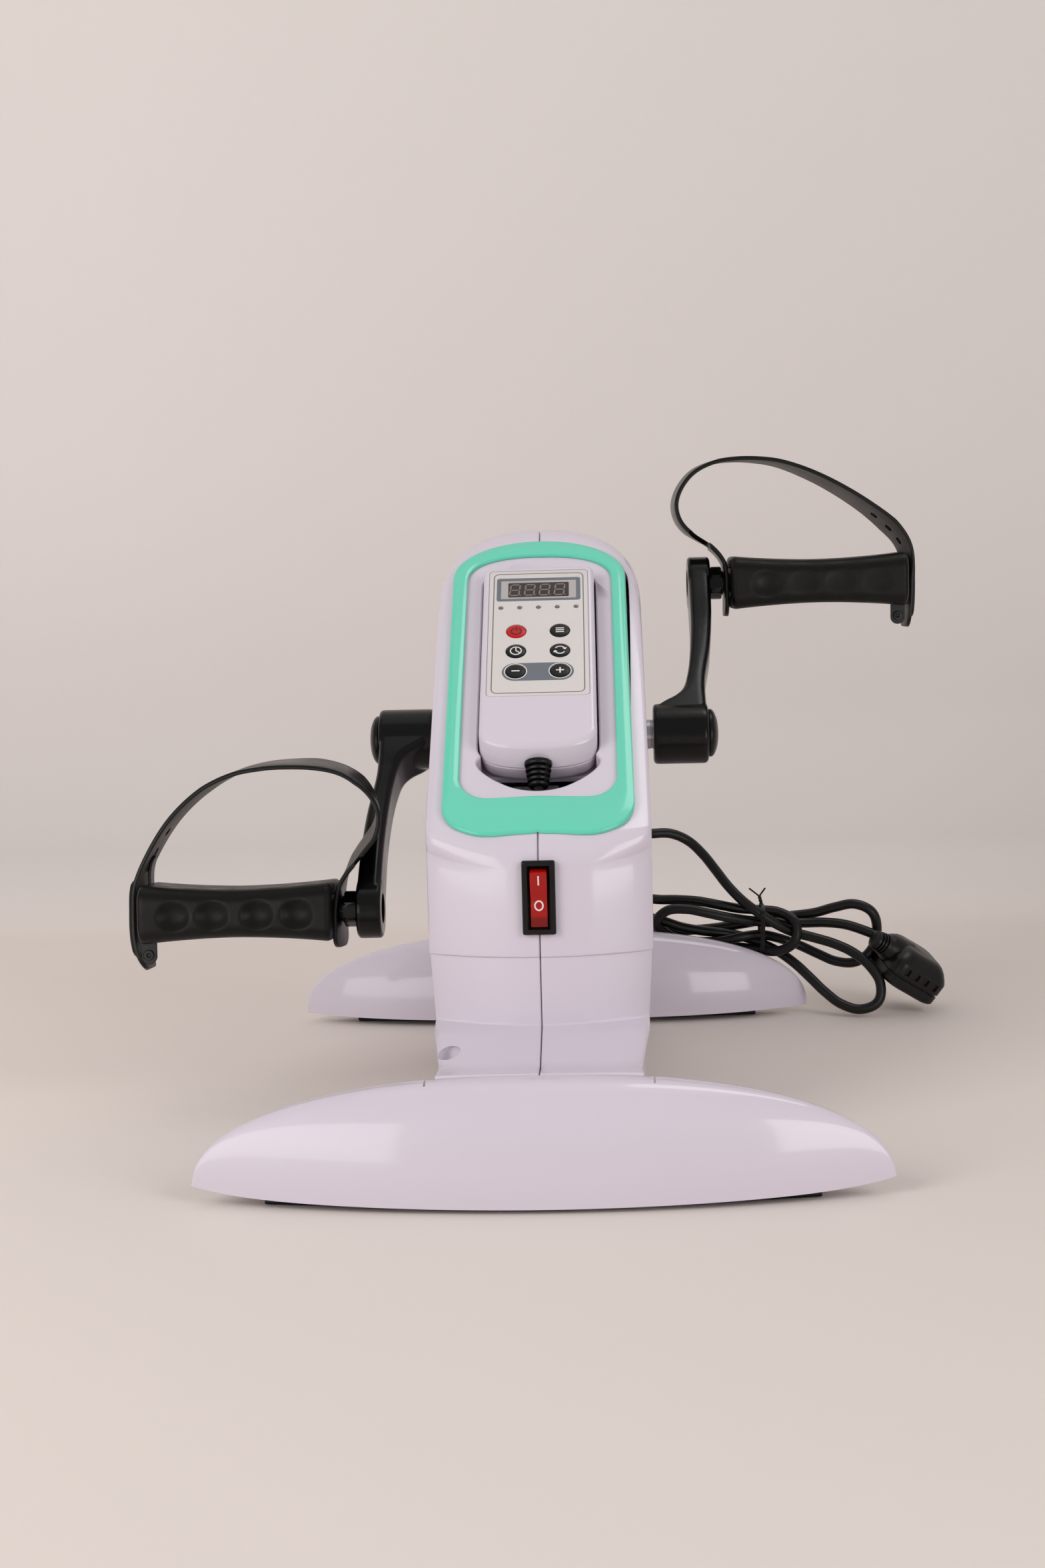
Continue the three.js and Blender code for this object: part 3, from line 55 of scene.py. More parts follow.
def make_camera():
    pitch, yaw, roll = math.radians(5.93), math.radians(2.09), math.radians(-1.45)
    fwd = Vector((-math.sin(yaw) * math.cos(pitch), math.cos(yaw) * math.cos(pitch), -math.sin(pitch)))
    right = Vector((math.cos(yaw), math.sin(yaw), 0))
    up = right.cross(fwd)
    r2 = right * math.cos(roll) + up * math.sin(roll)
    u2 = -right * math.sin(roll) + up * math.cos(roll)
    data = bpy.data.cameras.new("camera")
    data.sensor_width = 36
    data.sensor_fit = "AUTO"
    data.lens = 3000 / 2352 * 36
    data.clip_start, data.clip_end = 0.05, 60
    cam = bpy.data.objects.new("camera", data)
    scene.collection.objects.link(cam)
    m = Matrix.Identity(4)
    for i, v in enumerate((r2, u2, -fwd)):
        for k in range(3):
            m[k][i] = v[k]
    m.translation = Vector((25.7, -982.25, 257.9)) * MM
    cam.matrix_world = m
    scene.camera = cam
    return cam


make_camera()
scene.view_settings.view_transform = "Standard"
scene.view_settings.look = "None"
scene.view_settings.exposure = 0.0
scene.view_settings.gamma = 1.0


# ---------------------------------------------------------------- materials
def material(name, color, rough, metal=0.0, coat=0.0, coat_rough=0.1, ior=1.5, spec=0.5,
             mottle=0.03, mottle_scale=18.0, fine=0.0, fine_scale=900.0, rough_var=0.04,
             sheen=0.0, extra=None, slot=None):
    """Principled material: colour clouding, roughness variation and a fine moulded bump, all from object coordinates."""
    m = bpy.data.materials.new(name)
    m.use_nodes = True
    nt = m.node_tree
    L = nt.links.new
    b = nt.nodes["Principled BSDF"]
    b.inputs["Metallic"].default_value = metal
    b.inputs["IOR"].default_value = ior
    b.inputs["Specular IOR Level"].default_value = spec
    if coat:
        b.inputs["Coat Weight"].default_value = coat
        b.inputs["Coat Roughness"].default_value = coat_rough
    if sheen:
        b.inputs["Sheen Weight"].default_value = sheen
        b.inputs["Sheen Roughness"].default_value = 0.5
    tc = nt.nodes.new("ShaderNodeTexCoord")
    n1 = nt.nodes.new("ShaderNodeTexNoise")
    n1.inputs["Scale"].default_value = mottle_scale
    n1.inputs["Detail"].default_value = 3
    L(tc.outputs["Object"], n1.inputs["Vector"])
    ramp = nt.nodes.new("ShaderNodeMapRange")
    ramp.inputs["From Min"].default_value = 0.3
    ramp.inputs["From Max"].default_value = 0.7
    ramp.inputs["To Min"].default_value = 1 - mottle
    ramp.inputs["To Max"].default_value = 1 + mottle
    L(n1.outputs["Fac"], ramp.inputs["Value"])
    mul = nt.nodes.new("ShaderNodeVectorMath")
    mul.operation = "SCALE"
    mul.inputs[0].default_value = color[:3]
    L(ramp.outputs["Result"], mul.inputs["Scale"])
    L(mul.outputs["Vector"], b.inputs["Base Color"])
    n2 = nt.nodes.new("ShaderNodeTexNoise")
    n2.inputs["Scale"].default_value = mottle_scale * 3.1
    n2.inputs["Detail"].default_value = 4
    L(tc.outputs["Object"], n2.inputs["Vector"])
    r2 = nt.nodes.new("ShaderNodeMapRange")
    r2.inputs["From Min"].default_value = 0.3
    r2.inputs["From Max"].default_value = 0.7
    r2.inputs["To Min"].default_value = max(0.02, rough - rough_var)
    r2.inputs["To Max"].default_value = min(1.0, rough + rough_var)
    L(n2.outputs["Fac"], r2.inputs["Value"])
    L(r2.outputs["Result"], b.inputs["Roughness"])
    if fine:
        n3 = nt.nodes.new("ShaderNodeTexNoise")
        n3.inputs["Scale"].default_value = fine_scale
        n3.inputs["Detail"].default_value = 2
        L(tc.outputs["Object"], n3.inputs["Vector"])
        bump = nt.nodes.new("ShaderNodeBump")
        bump.inputs["Strength"].default_value = fine
        bump.inputs["Distance"].default_value = 0.0002
        L(n3.outputs["Fac"], bump.inputs["Height"])
        L(bump.outputs["Normal"], b.inputs["Normal"])
    if extra:
        extra(nt, b, tc, mul)
    m["slot"] = slot or name
    return m


def painted_shade_band(upper_color, lo, hi, axis="Z"):
    """Mixes a second colour in along one object axis; on the rocker the darker base red kept below lo is painted shade
    on its lowest band.
    """
    def build(nt, b, tc, mul):
        L = nt.links.new
        sep = nt.nodes.new("ShaderNodeSeparateXYZ")
        L(tc.outputs["Object"], sep.inputs[0])
        mr = nt.nodes.new("ShaderNodeMapRange")
        mr.interpolation_type = "SMOOTHSTEP"
        mr.inputs["From Min"].default_value = lo
        mr.inputs["From Max"].default_value = hi
        L(sep.outputs[axis], mr.inputs["Value"])
        mix = nt.nodes.new("ShaderNodeMix")
        mix.data_type = "RGBA"
        L(mr.outputs["Result"], mix.inputs["Factor"])
        L(mul.outputs["Vector"], mix.inputs[6])
        mix.inputs[7].default_value = upper_color
        L(mix.outputs[2], b.inputs["Base Color"])
    return build


MAT = {}
MAT["lilac_shell"] = material("lilac_shell", srgb(211, 202, 214), 0.34, spec=0.3, coat=0.85, coat_rough=0.085, mottle=0.01, mottle_scale=9, fine=0.035, fine_scale=240)
MAT["mint_ring"] = material("mint_ring", srgb(97, 208, 180), 0.32, spec=0.3, coat=0.8, coat_rough=0.09, mottle=0.012, mottle_scale=12, fine=0.03, fine_scale=300)
MAT["black_plastic"] = material("black_plastic", srgb(9, 9, 9), 0.32, spec=0.3, mottle=0.08, fine=0.12, fine_scale=900)
MAT["black_gloss"] = material("black_gloss", srgb(15, 15, 16), 0.2, mottle=0.05)
MAT["crank_black"] = material("crank_black", srgb(5, 6, 5), 0.2, mottle=0.1, spec=0.28, coat=0.0, coat_rough=0.16, fine=0.1, fine_scale=700, rough_var=0.06)
MAT["bright_steel"] = material("bright_steel", srgb(172, 172, 176), 0.26, metal=1.0, mottle=0.06, mottle_scale=60, rough_var=0.08)
MAT["frame_steel"] = material("frame_steel", srgb(62, 62, 66), 0.45, metal=0.6, mottle=0.08, fine=0.1)
MAT["foam"] = material("foam", srgb(12, 12, 10), 0.42, mottle=0.1, mottle_scale=40, fine=0.35, fine_scale=1600, rough_var=0.08, spec=0.22)
MAT["rubber_pad"] = material("rubber_pad", srgb(28, 27, 27), 0.7, mottle=0.1, fine=0.3, fine_scale=1200)
MAT["strap_pvc"] = material("strap_pvc", srgb(11, 11, 11), 0.32, spec=0.3, mottle=0.08, fine=0.1, fine_scale=600, rough_var=0.07)
# lighter copy of the strap PVC for the face towards the loop: its finer grain and roughness are the face's own, its
# lighter colour is painted light
MAT["strap_inner_painted_light"] = material("strap_inner_painted_light", srgb(66, 62, 58), 0.5, mottle=0.08, fine=0.2, fine_scale=1400, rough_var=0.07, slot="strap_pvc")
MAT["cord_pvc"] = material("cord_pvc", srgb(13, 12, 12), 0.34, spec=0.35, mottle=0.08, fine=0.06, fine_scale=700, rough_var=0.06)
MAT["label_film"] = material("label_film", srgb(212, 206, 203), 0.45, mottle=0.015, fine=0.25, fine_scale=1800)
MAT["print_dark"] = material("print_dark", srgb(84, 84, 88), 0.45, mottle=0.03, slot="label_film")
MAT["print_grey"] = material("print_grey", srgb(101, 107, 116), 0.42, mottle=0.03, fine=0.2, fine_scale=1800, slot="label_film")
MAT["print_silver"] = material("print_silver", srgb(176, 170, 168), 0.36, mottle=0.04, fine=0.15, fine_scale=1500, slot="label_film")
MAT["print_white"] = material("print_white", srgb(232, 229, 228), 0.45, mottle=0.02, slot="label_film")
MAT["print_black"] = material("print_black", srgb(22, 16, 16), 0.4, mottle=0.03, slot="label_film")
MAT["display_window"] = material("display_window", srgb(50, 43, 42), 0.16, mottle=0.08, mottle_scale=60, coat=0.2, coat_rough=0.05, spec=0.3)
MAT["display_segment"] = material("display_segment", srgb(128, 118, 112), 0.3, mottle=0.05, slot="display_window")
MAT["led_lens"] = material("led_lens", srgb(104, 102, 105), 0.3, mottle=0.05, coat=0.4, coat_rough=0.06, slot="display_window")
MAT["red_button"] = material("red_button", srgb(186, 10, 14), 0.3, mottle=0.03, coat=0.1, coat_rough=0.1, spec=0.3)
MAT["button_grey"] = material("button_grey", srgb(17, 17, 17), 0.34, mottle=0.05, coat=0.05, coat_rough=0.12, spec=0.25)
# rocker red with painted shade: below about 108.5 mm the key is painted a darker red than the brighter red above
MAT["rocker_red"] = material("rocker_red", srgb(120, 5, 2), 0.2, mottle=0.03, coat=0.1, spec=0.3, extra=painted_shade_band(srgb(164, 10, 4), 0.1085, 0.1098))
MAT["nylon"] = material("nylon", srgb(220, 216, 205), 0.5, mottle=0.02)
MAT["circuit_board"] = material("circuit_board", srgb(36, 92, 58), 0.4, mottle=0.15, mottle_scale=80)
MAT["copper_winding"] = material("copper_winding", srgb(150, 92, 52), 0.45, metal=0.7, mottle=0.1, mottle_scale=90)

SLOT = {s["node"]: s["material_slot"] for s in frame["record"]["subparts"]}
for name, ob in NODES.items():
    m = MAT.get(SLOT.get(name), MAT["black_plastic"])
    ob.data.materials.clear()
    ob.data.materials.append(m)

# ---------------------------------------------------------------- the mains lead
CORD = [
  (12, 133.6, 98), (12.3, 145.6, 98.5), (14.9, 157.2, 99.7), (19.6, 168.3, 101), (25.6, 178.6, 102.1), (34.5, 184.6, 103.2), (46.1, 184.5, 104.4), (58, 184.2, 105.7),
  (69.4, 187, 105.2), (79.7, 188.5, 100.5), (88.2, 186.3, 92.6), (95.3, 182.4, 83.6), (102.1, 177.9, 74.8), (110, 173.6, 66.8), (119.2, 171.5, 59.6), (128.9, 172.9, 52.9),
  (139.4, 176.1, 47.2), (151.2, 174.2, 44), (162.6, 171.2, 40.8), (173.2, 168, 36), (182.2, 164.3, 28.7), (187.9, 161, 18.7), (186.2, 158.7, 8.7), (176.6, 158.3, 4.5),
  (165.4, 160.7, 7.2), (156.2, 165.3, 13.8), (148.4, 170.8, 21.2), (140.6, 176.7, 28.2), (131.7, 181.9, 34.3), (121.5, 185.1, 39.2), (110.2, 185.2, 43.5), (98.3, 184, 46),
  (86.4, 183.8, 47.6), (74.8, 183.4, 50), (63.5, 183.3, 54), (52.1, 185, 56.4), (40.8, 187.2, 54.7), (29.1, 188.6, 51.6), (17.3, 189.1, 52.5), (7.9, 189, 59.3),
  (6.6, 188.5, 69.5), (14.7, 187.5, 76.7), (26.5, 186.6, 77.2), (38, 185.3, 73.4), (49.1, 183.8, 69), (60.7, 182.6, 66.9), (72.6, 181.3, 66.7), (84.5, 179.8, 65.9),
  (96.2, 178.7, 63.7), (107.9, 178.7, 61.3), (120, 179.4, 60.1), (132, 178.2, 58.6), (140.7, 173.1, 52.7), (140, 170.9, 42.8), (131.3, 174.9, 36.4), (120.2, 179.8, 36.1),
  (109, 184.4, 37.1), (97.7, 188.1, 36.6), (85.9, 190.3, 36.2), (73.9, 191.5, 36.4), (62, 192.6, 36.5), (50.4, 193.8, 34.6), (38.7, 194.8, 31.6), (26.6, 195.8, 31),
  (15.7, 196.4, 35.4), (10.7, 196.6, 44.8), (15.3, 196.5, 54.3), (26.2, 195.9, 57.8), (38.2, 195.1, 55.8), (49.2, 193.9, 51.4), (59.4, 192.4, 46.8), (70.7, 191.4, 46.3),
  (82.7, 190.5, 46.9), (94.7, 189.7, 48), (106.5, 188.6, 49.7), (118.2, 188.5, 51.6), (130, 189.4, 53.5), (141.9, 189.3, 54.7), (153.5, 187.4, 56.4), (165, 184.9, 59.9),
  (176.5, 182.4, 61.9), (185.9, 180.6, 57.5), (189, 181.6, 46.4), (185.2, 179.7, 34.9), (176.4, 179.4, 28.2), (165.5, 182.5, 28), (154.6, 186.3, 32.2), (143.9, 188.5, 37.1),
  (132.9, 187.1, 41.4), (121.8, 182.8, 44.6), (110.4, 179.2, 44.4), (98.9, 179.4, 42.2), (87.2, 182.4, 41.1), (75.2, 183.6, 42.4), (64.4, 181.4, 47.4), (59.7, 176, 54.5),
  (65.6, 173.2, 61.4), (77.2, 172.4, 62.5), (89.3, 172.3, 60), (101, 173.3, 57.1), (112.2, 176.3, 54.6), (123.4, 180.2, 52.7), (135, 182.9, 51.5), (146.9, 183.3, 51.2),
  (158.8, 182, 51.4), (170.5, 180.3, 50.2), (181.7, 178, 46.7), (192.5, 175, 42.3),
]


def curve_piece(name, pts, radius, body, mat, res=6):
    """Open Bezier spline through the route's points, with a round section."""
    c = bpy.data.curves.new(name, "CURVE")
    c.dimensions = "3D"
    c.bevel_depth = radius * MM
    c.bevel_resolution = 5
    c.resolution_u = res
    c.use_fill_caps = True
    s = c.splines.new("BEZIER")
    s.bezier_points.add(len(pts) - 1)
    P = np.array(pts, float) * MM
    T = np.zeros_like(P)
    d = np.linalg.norm(np.diff(P, axis=0), axis=1)
    for i in range(len(P)):
        if 0 < i < len(P) - 1:
            a, b = d[i - 1], d[i]
            t = (P[i] - P[i - 1]) / a * (b / (a + b)) + (P[i + 1] - P[i]) / b * (a / (a + b))
        elif i == 0:
            t = (P[1] - P[0]) / d[0]
        else:
            t = (P[-1] - P[-2]) / d[-1]
        T[i] = t / np.linalg.norm(t)
    for i, bp in enumerate(s.bezier_points):
        bp.handle_left_type = bp.handle_right_type = "FREE"
        bp.co = P[i]
        bp.handle_left = P[i] - T[i] * (d[i - 1] if i else d[0]) / 3
        bp.handle_right = P[i] + T[i] * (d[i] if i < len(d) else d[-1]) / 3
    o = bpy.data.objects.new(name, c)
    scene.collection.objects.link(o)
    o.data.materials.append(MAT[mat])
    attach(o, body)
    return o


lead = curve_piece("mains_lead", CORD, 2.9, "base", "cord_pvc")
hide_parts("mains_cord", "cord_hank")


# ---------------------------------------------------------------- mesh tools, in millimetres
def triangles(F):
    return np.array([(f[0], f[k], f[k + 1]) for f in F for k in range(1, len(f) - 1)], int)


def volume(V, F):
    T = triangles(F)
    return float(np.einsum("ij,ij->i", V[T[:, 0]], np.cross(V[T[:, 1]], V[T[:, 2]])).sum())


def loft(rings, caps=True, closed=False):
    """Skin through rings of equal count. Returns vertices, faces (sides first) and the number of side faces."""
    R = np.asarray(rings, float)
    m, n = R.shape[:2]
    V = R.reshape(-1, 3)
    F = []
    for i in range(m if closed else m - 1):
        k = (i + 1) % m
        for j in range(n):
            a, b = i * n + j, i * n + (j + 1) % n
            c, d = k * n + j, k * n + (j + 1) % n
            F.append((a, c, d, b))
    sides = len(F)
    if caps and not closed:
        F.append(tuple(range(n)))
        F.append(tuple(range(m * n - 1, (m - 1) * n - 1, -1)))
        if volume(V, F) < 0:
            F = [f[::-1] for f in F]
    elif closed and volume(V, F) < 0:
        F = [f[::-1] for f in F]
    return V, F, sides


def mesh(name, V, F, slots=None):
    me = bpy.data.meshes.new(name)
    me.from_pydata((np.asarray(V, float) * MM).tolist(), [], [list(f) for f in F])
    if slots is not None:
        me.polygons.foreach_set("material_index", slots)
    me.update()
    return me


class Skin:
    """A clean surface whose smooth normals are given back to a mesh cut from it."""

    def __init__(self, V, F):
        V = np.asarray(V, float) * MM
        T = triangles(F)
        n = np.cross(V[T[:, 1]] - V[T[:, 0]], V[T[:, 2]] - V[T[:, 0]])
        N = np.zeros_like(V)
        for k in range(3):
            np.add.at(N, T[:, k], n)
        self.N = N / np.maximum(np.linalg.norm(N, axis=1), 1e-20)[:, None]
        self.V, self.T = V, T
        self.bvh = BVHTree.FromPolygons(V.tolist(), T.tolist())

    def near(self, co):
        dist = np.full(len(co), 1.0)
        out = np.zeros_like(co)
        P, I, K = [], [], []
        for i, p in enumerate(co):
            loc, _, idx, d = self.bvh.find_nearest(p, 0.0001)
            if loc is not None:
                dist[i] = d
                P.append(loc[:]); I.append(idx); K.append(i)
        if K:
            P, I = np.array(P), np.array(I)
            A, B, C = (self.V[self.T[I, k]] for k in range(3))
            v0, v1, v2 = B - A, C - A, P - A
            d00, d01, d11 = (v0 * v0).sum(1), (v0 * v1).sum(1), (v1 * v1).sum(1)
            d20, d21 = (v2 * v0).sum(1), (v2 * v1).sum(1)
            den = np.where(np.abs(d00 * d11 - d01 * d01) < 1e-30, 1e-30, d00 * d11 - d01 * d01)
            b = np.clip((d11 * d20 - d01 * d21) / den, 0, 1)[:, None]
            c = np.clip((d00 * d21 - d01 * d20) / den, 0, 1)[:, None]
            n = self.N[self.T[I, 0]] * (1 - b - c) + self.N[self.T[I, 1]] * b + self.N[self.T[I, 2]] * c
            out[K] = n / np.maximum(np.linalg.norm(n, axis=1), 1e-20)[:, None]
        return dist, out


def shade(me, angle=35.0, skins=(), tol=4e-5, cos=0.72):
    me.polygons.foreach_set("use_smooth", np.ones(len(me.polygons), bool))
    me.set_sharp_from_angle(angle=math.radians(angle))
    if not skins:
        return me
    nl = len(me.loops)
    cn = np.empty(nl * 3); me.corner_normals.foreach_get("vector", cn); cn = cn.reshape(-1, 3)
    vi = np.empty(nl, np.int32); me.loops.foreach_get("vertex_index", vi)
    co = np.empty(len(me.vertices) * 3); me.vertices.foreach_get("co", co); co = co.reshape(-1, 3)
    pn = np.empty(len(me.polygons) * 3); me.polygons.foreach_get("normal", pn)
    tot = np.empty(len(me.polygons), np.int32); me.polygons.foreach_get("loop_total", tot)
    fn = np.repeat(pn.reshape(-1, 3), tot, axis=0)
    best = np.full(nl, tol)
    for s in skins:
        d, N = s.near(co)
        dl, Nl = d[vi], N[vi]
        ok = (dl < best) & ((Nl * fn).sum(1) > cos)
        cn[ok] = Nl[ok]
        best[ok] = dl[ok]
    me.normals_split_custom_set(cn.tolist())
    return me


def csg(base, *ops):
    """base mesh, then ("UNION" | "DIFFERENCE" | "INTERSECT", mesh) in turn."""
    o = bpy.data.objects.new("work", base)
    scene.collection.objects.link(o)
    tmp = [o]
    for op, me in ops:
        t = bpy.data.objects.new("work_tool", me)
        scene.collection.objects.link(t)
        b = o.modifiers.new("cut", "BOOLEAN")
        b.operation, b.object, b.solver = op, t, "MANIFOLD"
        tmp.append(t)
    dg = bpy.context.evaluated_depsgraph_get()
    res = bpy.data.meshes.new_from_object(o.evaluated_get(dg))
    for t in tmp:
        bpy.data.objects.remove(t)
    return res


def put(name, me, body, slot, mats=None, replaces=()):
    idx = np.empty(len(me.polygons), np.int32)
    me.polygons.foreach_get("material_index", idx)
    me.materials.clear()
    for k in (mats or [slot]):
        me.materials.append(MAT[k])
    me.polygons.foreach_set("material_index", np.clip(idx, 0, len(me.materials) - 1))
    o = bpy.data.objects.new(name, me)
    scene.collection.objects.link(o)
    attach(o, body)
    if replaces:
        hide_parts(*replaces)
    return o


def box_mesh(x0, x1, y0, y1, z0, z1):
    V = [(x, y, z) for x in (x0, x1) for y in (y0, y1) for z in (z0, z1)]
    F = [(0, 1, 3, 2), (4, 6, 7, 5), (0, 4, 5, 1), (2, 3, 7, 6), (0, 2, 6, 4), (1, 5, 7, 3)]
    return mesh("block", V, F)


def lathe(profile, n=48, mat=None):
    """profile of (axial, radius) from one end to the other, turned about +X; mat places it."""
    prof = [(a, max(r, 0.0)) for a, r in profile]
    core = [p for p in prof if p[1] > 1e-9]
    rings = [[(a, r * math.cos(2 * math.pi * k / n), r * math.sin(2 * math.pi * k / n)) for k in range(n)] for a, r in core]
    V, F, s = loft(rings)
    if mat is not None:
        V = apply(V, mat)
    return V, F, s


def apply(V, M):
    V = np.asarray(V, float)
    A = np.array(M)
    out = V @ A[:3, :3].T + A[:3, 3]
    return out


def frame_to(origin, direction):
    """Matrix that turns +X into a direction at an origin."""
    d = Vector(direction).normalized()
    q = Vector((1, 0, 0)).rotation_difference(d)
    return Matrix.Translation(Vector(origin)) @ q.to_matrix().to_4x4()


def cylinder(axis, a, b, u, v, r, n=40, r2=None):
    r2 = r if r2 is None else r2
    rings = []
    for t, rad in ((a, r), (b, r2)):
        ring = []
        for k in range(n):
            c, s = rad * math.cos(2 * math.pi * k / n), rad * math.sin(2 * math.pi * k / n)
            ring.append({"x": (t, u + c, v + s), "y": (u + c, t, v + s), "z": (u + c, v + s, t)}[axis])
        rings.append(ring)
    V, F, _ = loft(rings)
    return mesh("bore", V, F)


def arc(cx, cy, r, a0, a1, n, ry=None):
    ry = r if ry is None else ry
    return [(cx + r * math.cos(math.radians(a0 + (a1 - a0) * i / n)), cy + ry * math.sin(math.radians(a0 + (a1 - a0) * i / n))) for i in range(n + 1)]


def round_rect(x0, x1, y0, y1, r, n=8):
    return (arc(x1 - r, y0 + r, r, -90, 0, n) + arc(x1 - r, y1 - r, r, 0, 90, n)
            + arc(x0 + r, y1 - r, r, 90, 180, n) + arc(x0 + r, y0 + r, r, 180, 270, n))


def filleted(corners, split):
    """Closed outline with a fillet at each corner (a, b, r, n); each point keeps its corner and its share along it."""
    out, N = [], len(corners)
    for i in range(N):
        P, C, Q = corners[i - 1], corners[i], corners[(i + 1) % N]
        a, b = np.array(P[:2]) - C[:2], np.array(Q[:2]) - C[:2]
        ua, ub = a / np.linalg.norm(a), b / np.linalg.norm(b)
        r, n = C[2], C[3]
        th = math.acos(max(-1, min(1, float(ua @ ub))))
        t = r / math.tan(th / 2)
        bis = (ua + ub) / np.linalg.norm(ua + ub)
        ctr = np.array(C[:2]) + bis * r / math.sin(th / 2)
        s, e = np.array(C[:2]) + ua * t, np.array(C[:2]) + ub * t
        a0 = math.atan2(s[1] - ctr[1], s[0] - ctr[0]); a1 = math.atan2(e[1] - ctr[1], e[0] - ctr[0])
        while a1 - a0 > math.pi: a1 -= 2 * math.pi
        while a1 - a0 < -math.pi: a1 += 2 * math.pi
        for k in range(n + 1):
            w = a0 + (a1 - a0) * k / n
            out.append((ctr[0] + r * math.cos(w), ctr[1] + r * math.sin(w), i, k / n))
        m = split.get(i, 1)
        out.extend(("split", i, (k + 1) / m) for k in range(m - 1))
    L = len(out)
    res = []
    for i, p in enumerate(out):
        if p[0] != "split":
            res.append(p); continue
        a = i
        while out[a][0] == "split": a -= 1
        b = i
        while out[b % L][0] == "split": b += 1
        A, B = out[a], out[b % L]
        res.append((A[0] + (B[0] - A[0]) * p[2], A[1] + (B[1] - A[1]) * p[2], p[1], 1 + p[2]))
    return res


def inset(corners, t):
    N = len(corners)
    area2 = sum(corners[i][0] * corners[(i + 1) % N][1] - corners[(i + 1) % N][0] * corners[i][1] for i in range(N))
    s = 1 if area2 > 0 else -1
    lines = []
    for i in range(N):
        C, Q = corners[i], corners[(i + 1) % N]
        d = (Q[0] - C[0], Q[1] - C[1]); l = math.hypot(*d)
        nrm = (-d[1] / l * s, d[0] / l * s)
        lines.append(((C[0] + nrm[0] * t, C[1] + nrm[1] * t), d))
    out = []
    for i in range(N):
        (ap, ad), (bp, bd) = lines[i - 1], lines[i]
        det = ad[0] * bd[1] - ad[1] * bd[0]
        k = ((bp[0] - ap[0]) * bd[1] - (bp[1] - ap[1]) * bd[0]) / det
        P, C, Q = corners[i - 1], corners[i], corners[(i + 1) % N]
        convex = ((C[0] - P[0]) * (Q[1] - C[1]) - (C[1] - P[1]) * (Q[0] - C[0])) * s > 0
        out.append((ap[0] + ad[0] * k, ap[1] + ad[1] * k, max(0.4, C[2] - t if convex else C[2] + t), C[3]))
    return out


def bulge(v, p):
    return 1 - max(0.0, 1 - v ** p) ** (1 / p)


def stations(ps, hw, depth, n):
    """Shares of the half width at which a bowed skin is cut, close together where it bends."""
    T = np.linspace(0, math.pi / 2, 4001)
    weight = np.zeros(len(T) - 1)
    grid = np.linspace(0, 1, 20001)
    tot = np.zeros(len(grid))
    for p in ps:
        v = np.sin(T) ** (2 / p); g = 1 - np.cos(T) ** (2 / p)
        d = np.stack([np.diff(v) * hw, np.diff(g) * depth], 1)
        ln = np.linalg.norm(d, axis=1)
        an = np.arctan2(d[:, 1], d[:, 0])
        c = np.concatenate([[0], np.cumsum(ln / ln.sum() + 2.0 * np.abs(np.diff(an, prepend=an[0])) / (math.pi / 2))])
        tot += np.interp(grid, v, c / c[-1])
    tot = tot / tot[-1]
    return np.interp(np.linspace(0, 1, n), tot, grid)


# ---------------------------------------------------------------- driving dimensions, as in the CAD model
HW, SEAM_Z, WALL = 50.3, 90.8, 2.6
FRONT_Y, BACK_Y, CROWN_Z = -116.65, 103.35, 281.5
SLOPE = math.radians(40)
CON_Y, CON_Z = 43.35, 275.6
CRANK_Y, CRANK_Z, CRANK_DY, CRANK_DZ = 41.2, 175.8, 71.0, 75.8
SWITCH_Z = 117.9


def leg_hw(z):
    z = np.asarray(z, float)
    return np.where(z <= 52, 46.2, np.where(z < 61, 46.2 + 1.8 * (z - 52) / 9, 48 + 1.7 * np.minimum(1, (z - 61) / 30)))


def con_yz(s, h):
    return CON_Y + s * math.cos(SLOPE) - h * math.sin(SLOPE), CON_Z + s * math.sin(SLOPE) + h * math.cos(SLOPE)


def con(V):
    """console frame (x, s, h) to the object's frame"""
    V = np.asarray(V, float)
    y, z = con_yz(V[:, 1], V[:, 2])
    return np.stack([V[:, 0], y, z], 1)


def prism(outline, h0, h1, to=con, bevel=0.0):
    rings = [[(x, y, h) for x, y in outline] for h in (h0, h1)]
    V, F, _ = loft(rings)
    return mesh("prism", to(V) if to else V, F)


# ---------------------------------------------------------------- plane curves
def resample(P, n, closed=True):
    P = np.asarray(P, float)
    Q = np.vstack([P, P[:1]]) if closed else P
    d = np.concatenate([[0], np.cumsum(np.linalg.norm(np.diff(Q, axis=0), axis=1))])
    t = np.linspace(0, d[-1], n + 1)[:-1] if closed else np.linspace(0, d[-1], n)
    return np.stack([np.interp(t, d, Q[:, k]) for k in range(P.shape[1])], 1)


def normals2d(P):
    """outward normals of a counter-clockwise closed outline"""
    T = np.roll(P, -1, 0) - np.roll(P, 1, 0)
    N = np.stack([T[:, 1], -T[:, 0]], 1)
    return N / np.maximum(np.linalg.norm(N, axis=1), 1e-12)[:, None]


def offset(P, d):
    return np.asarray(P, float) + normals2d(np.asarray(P, float)) * d


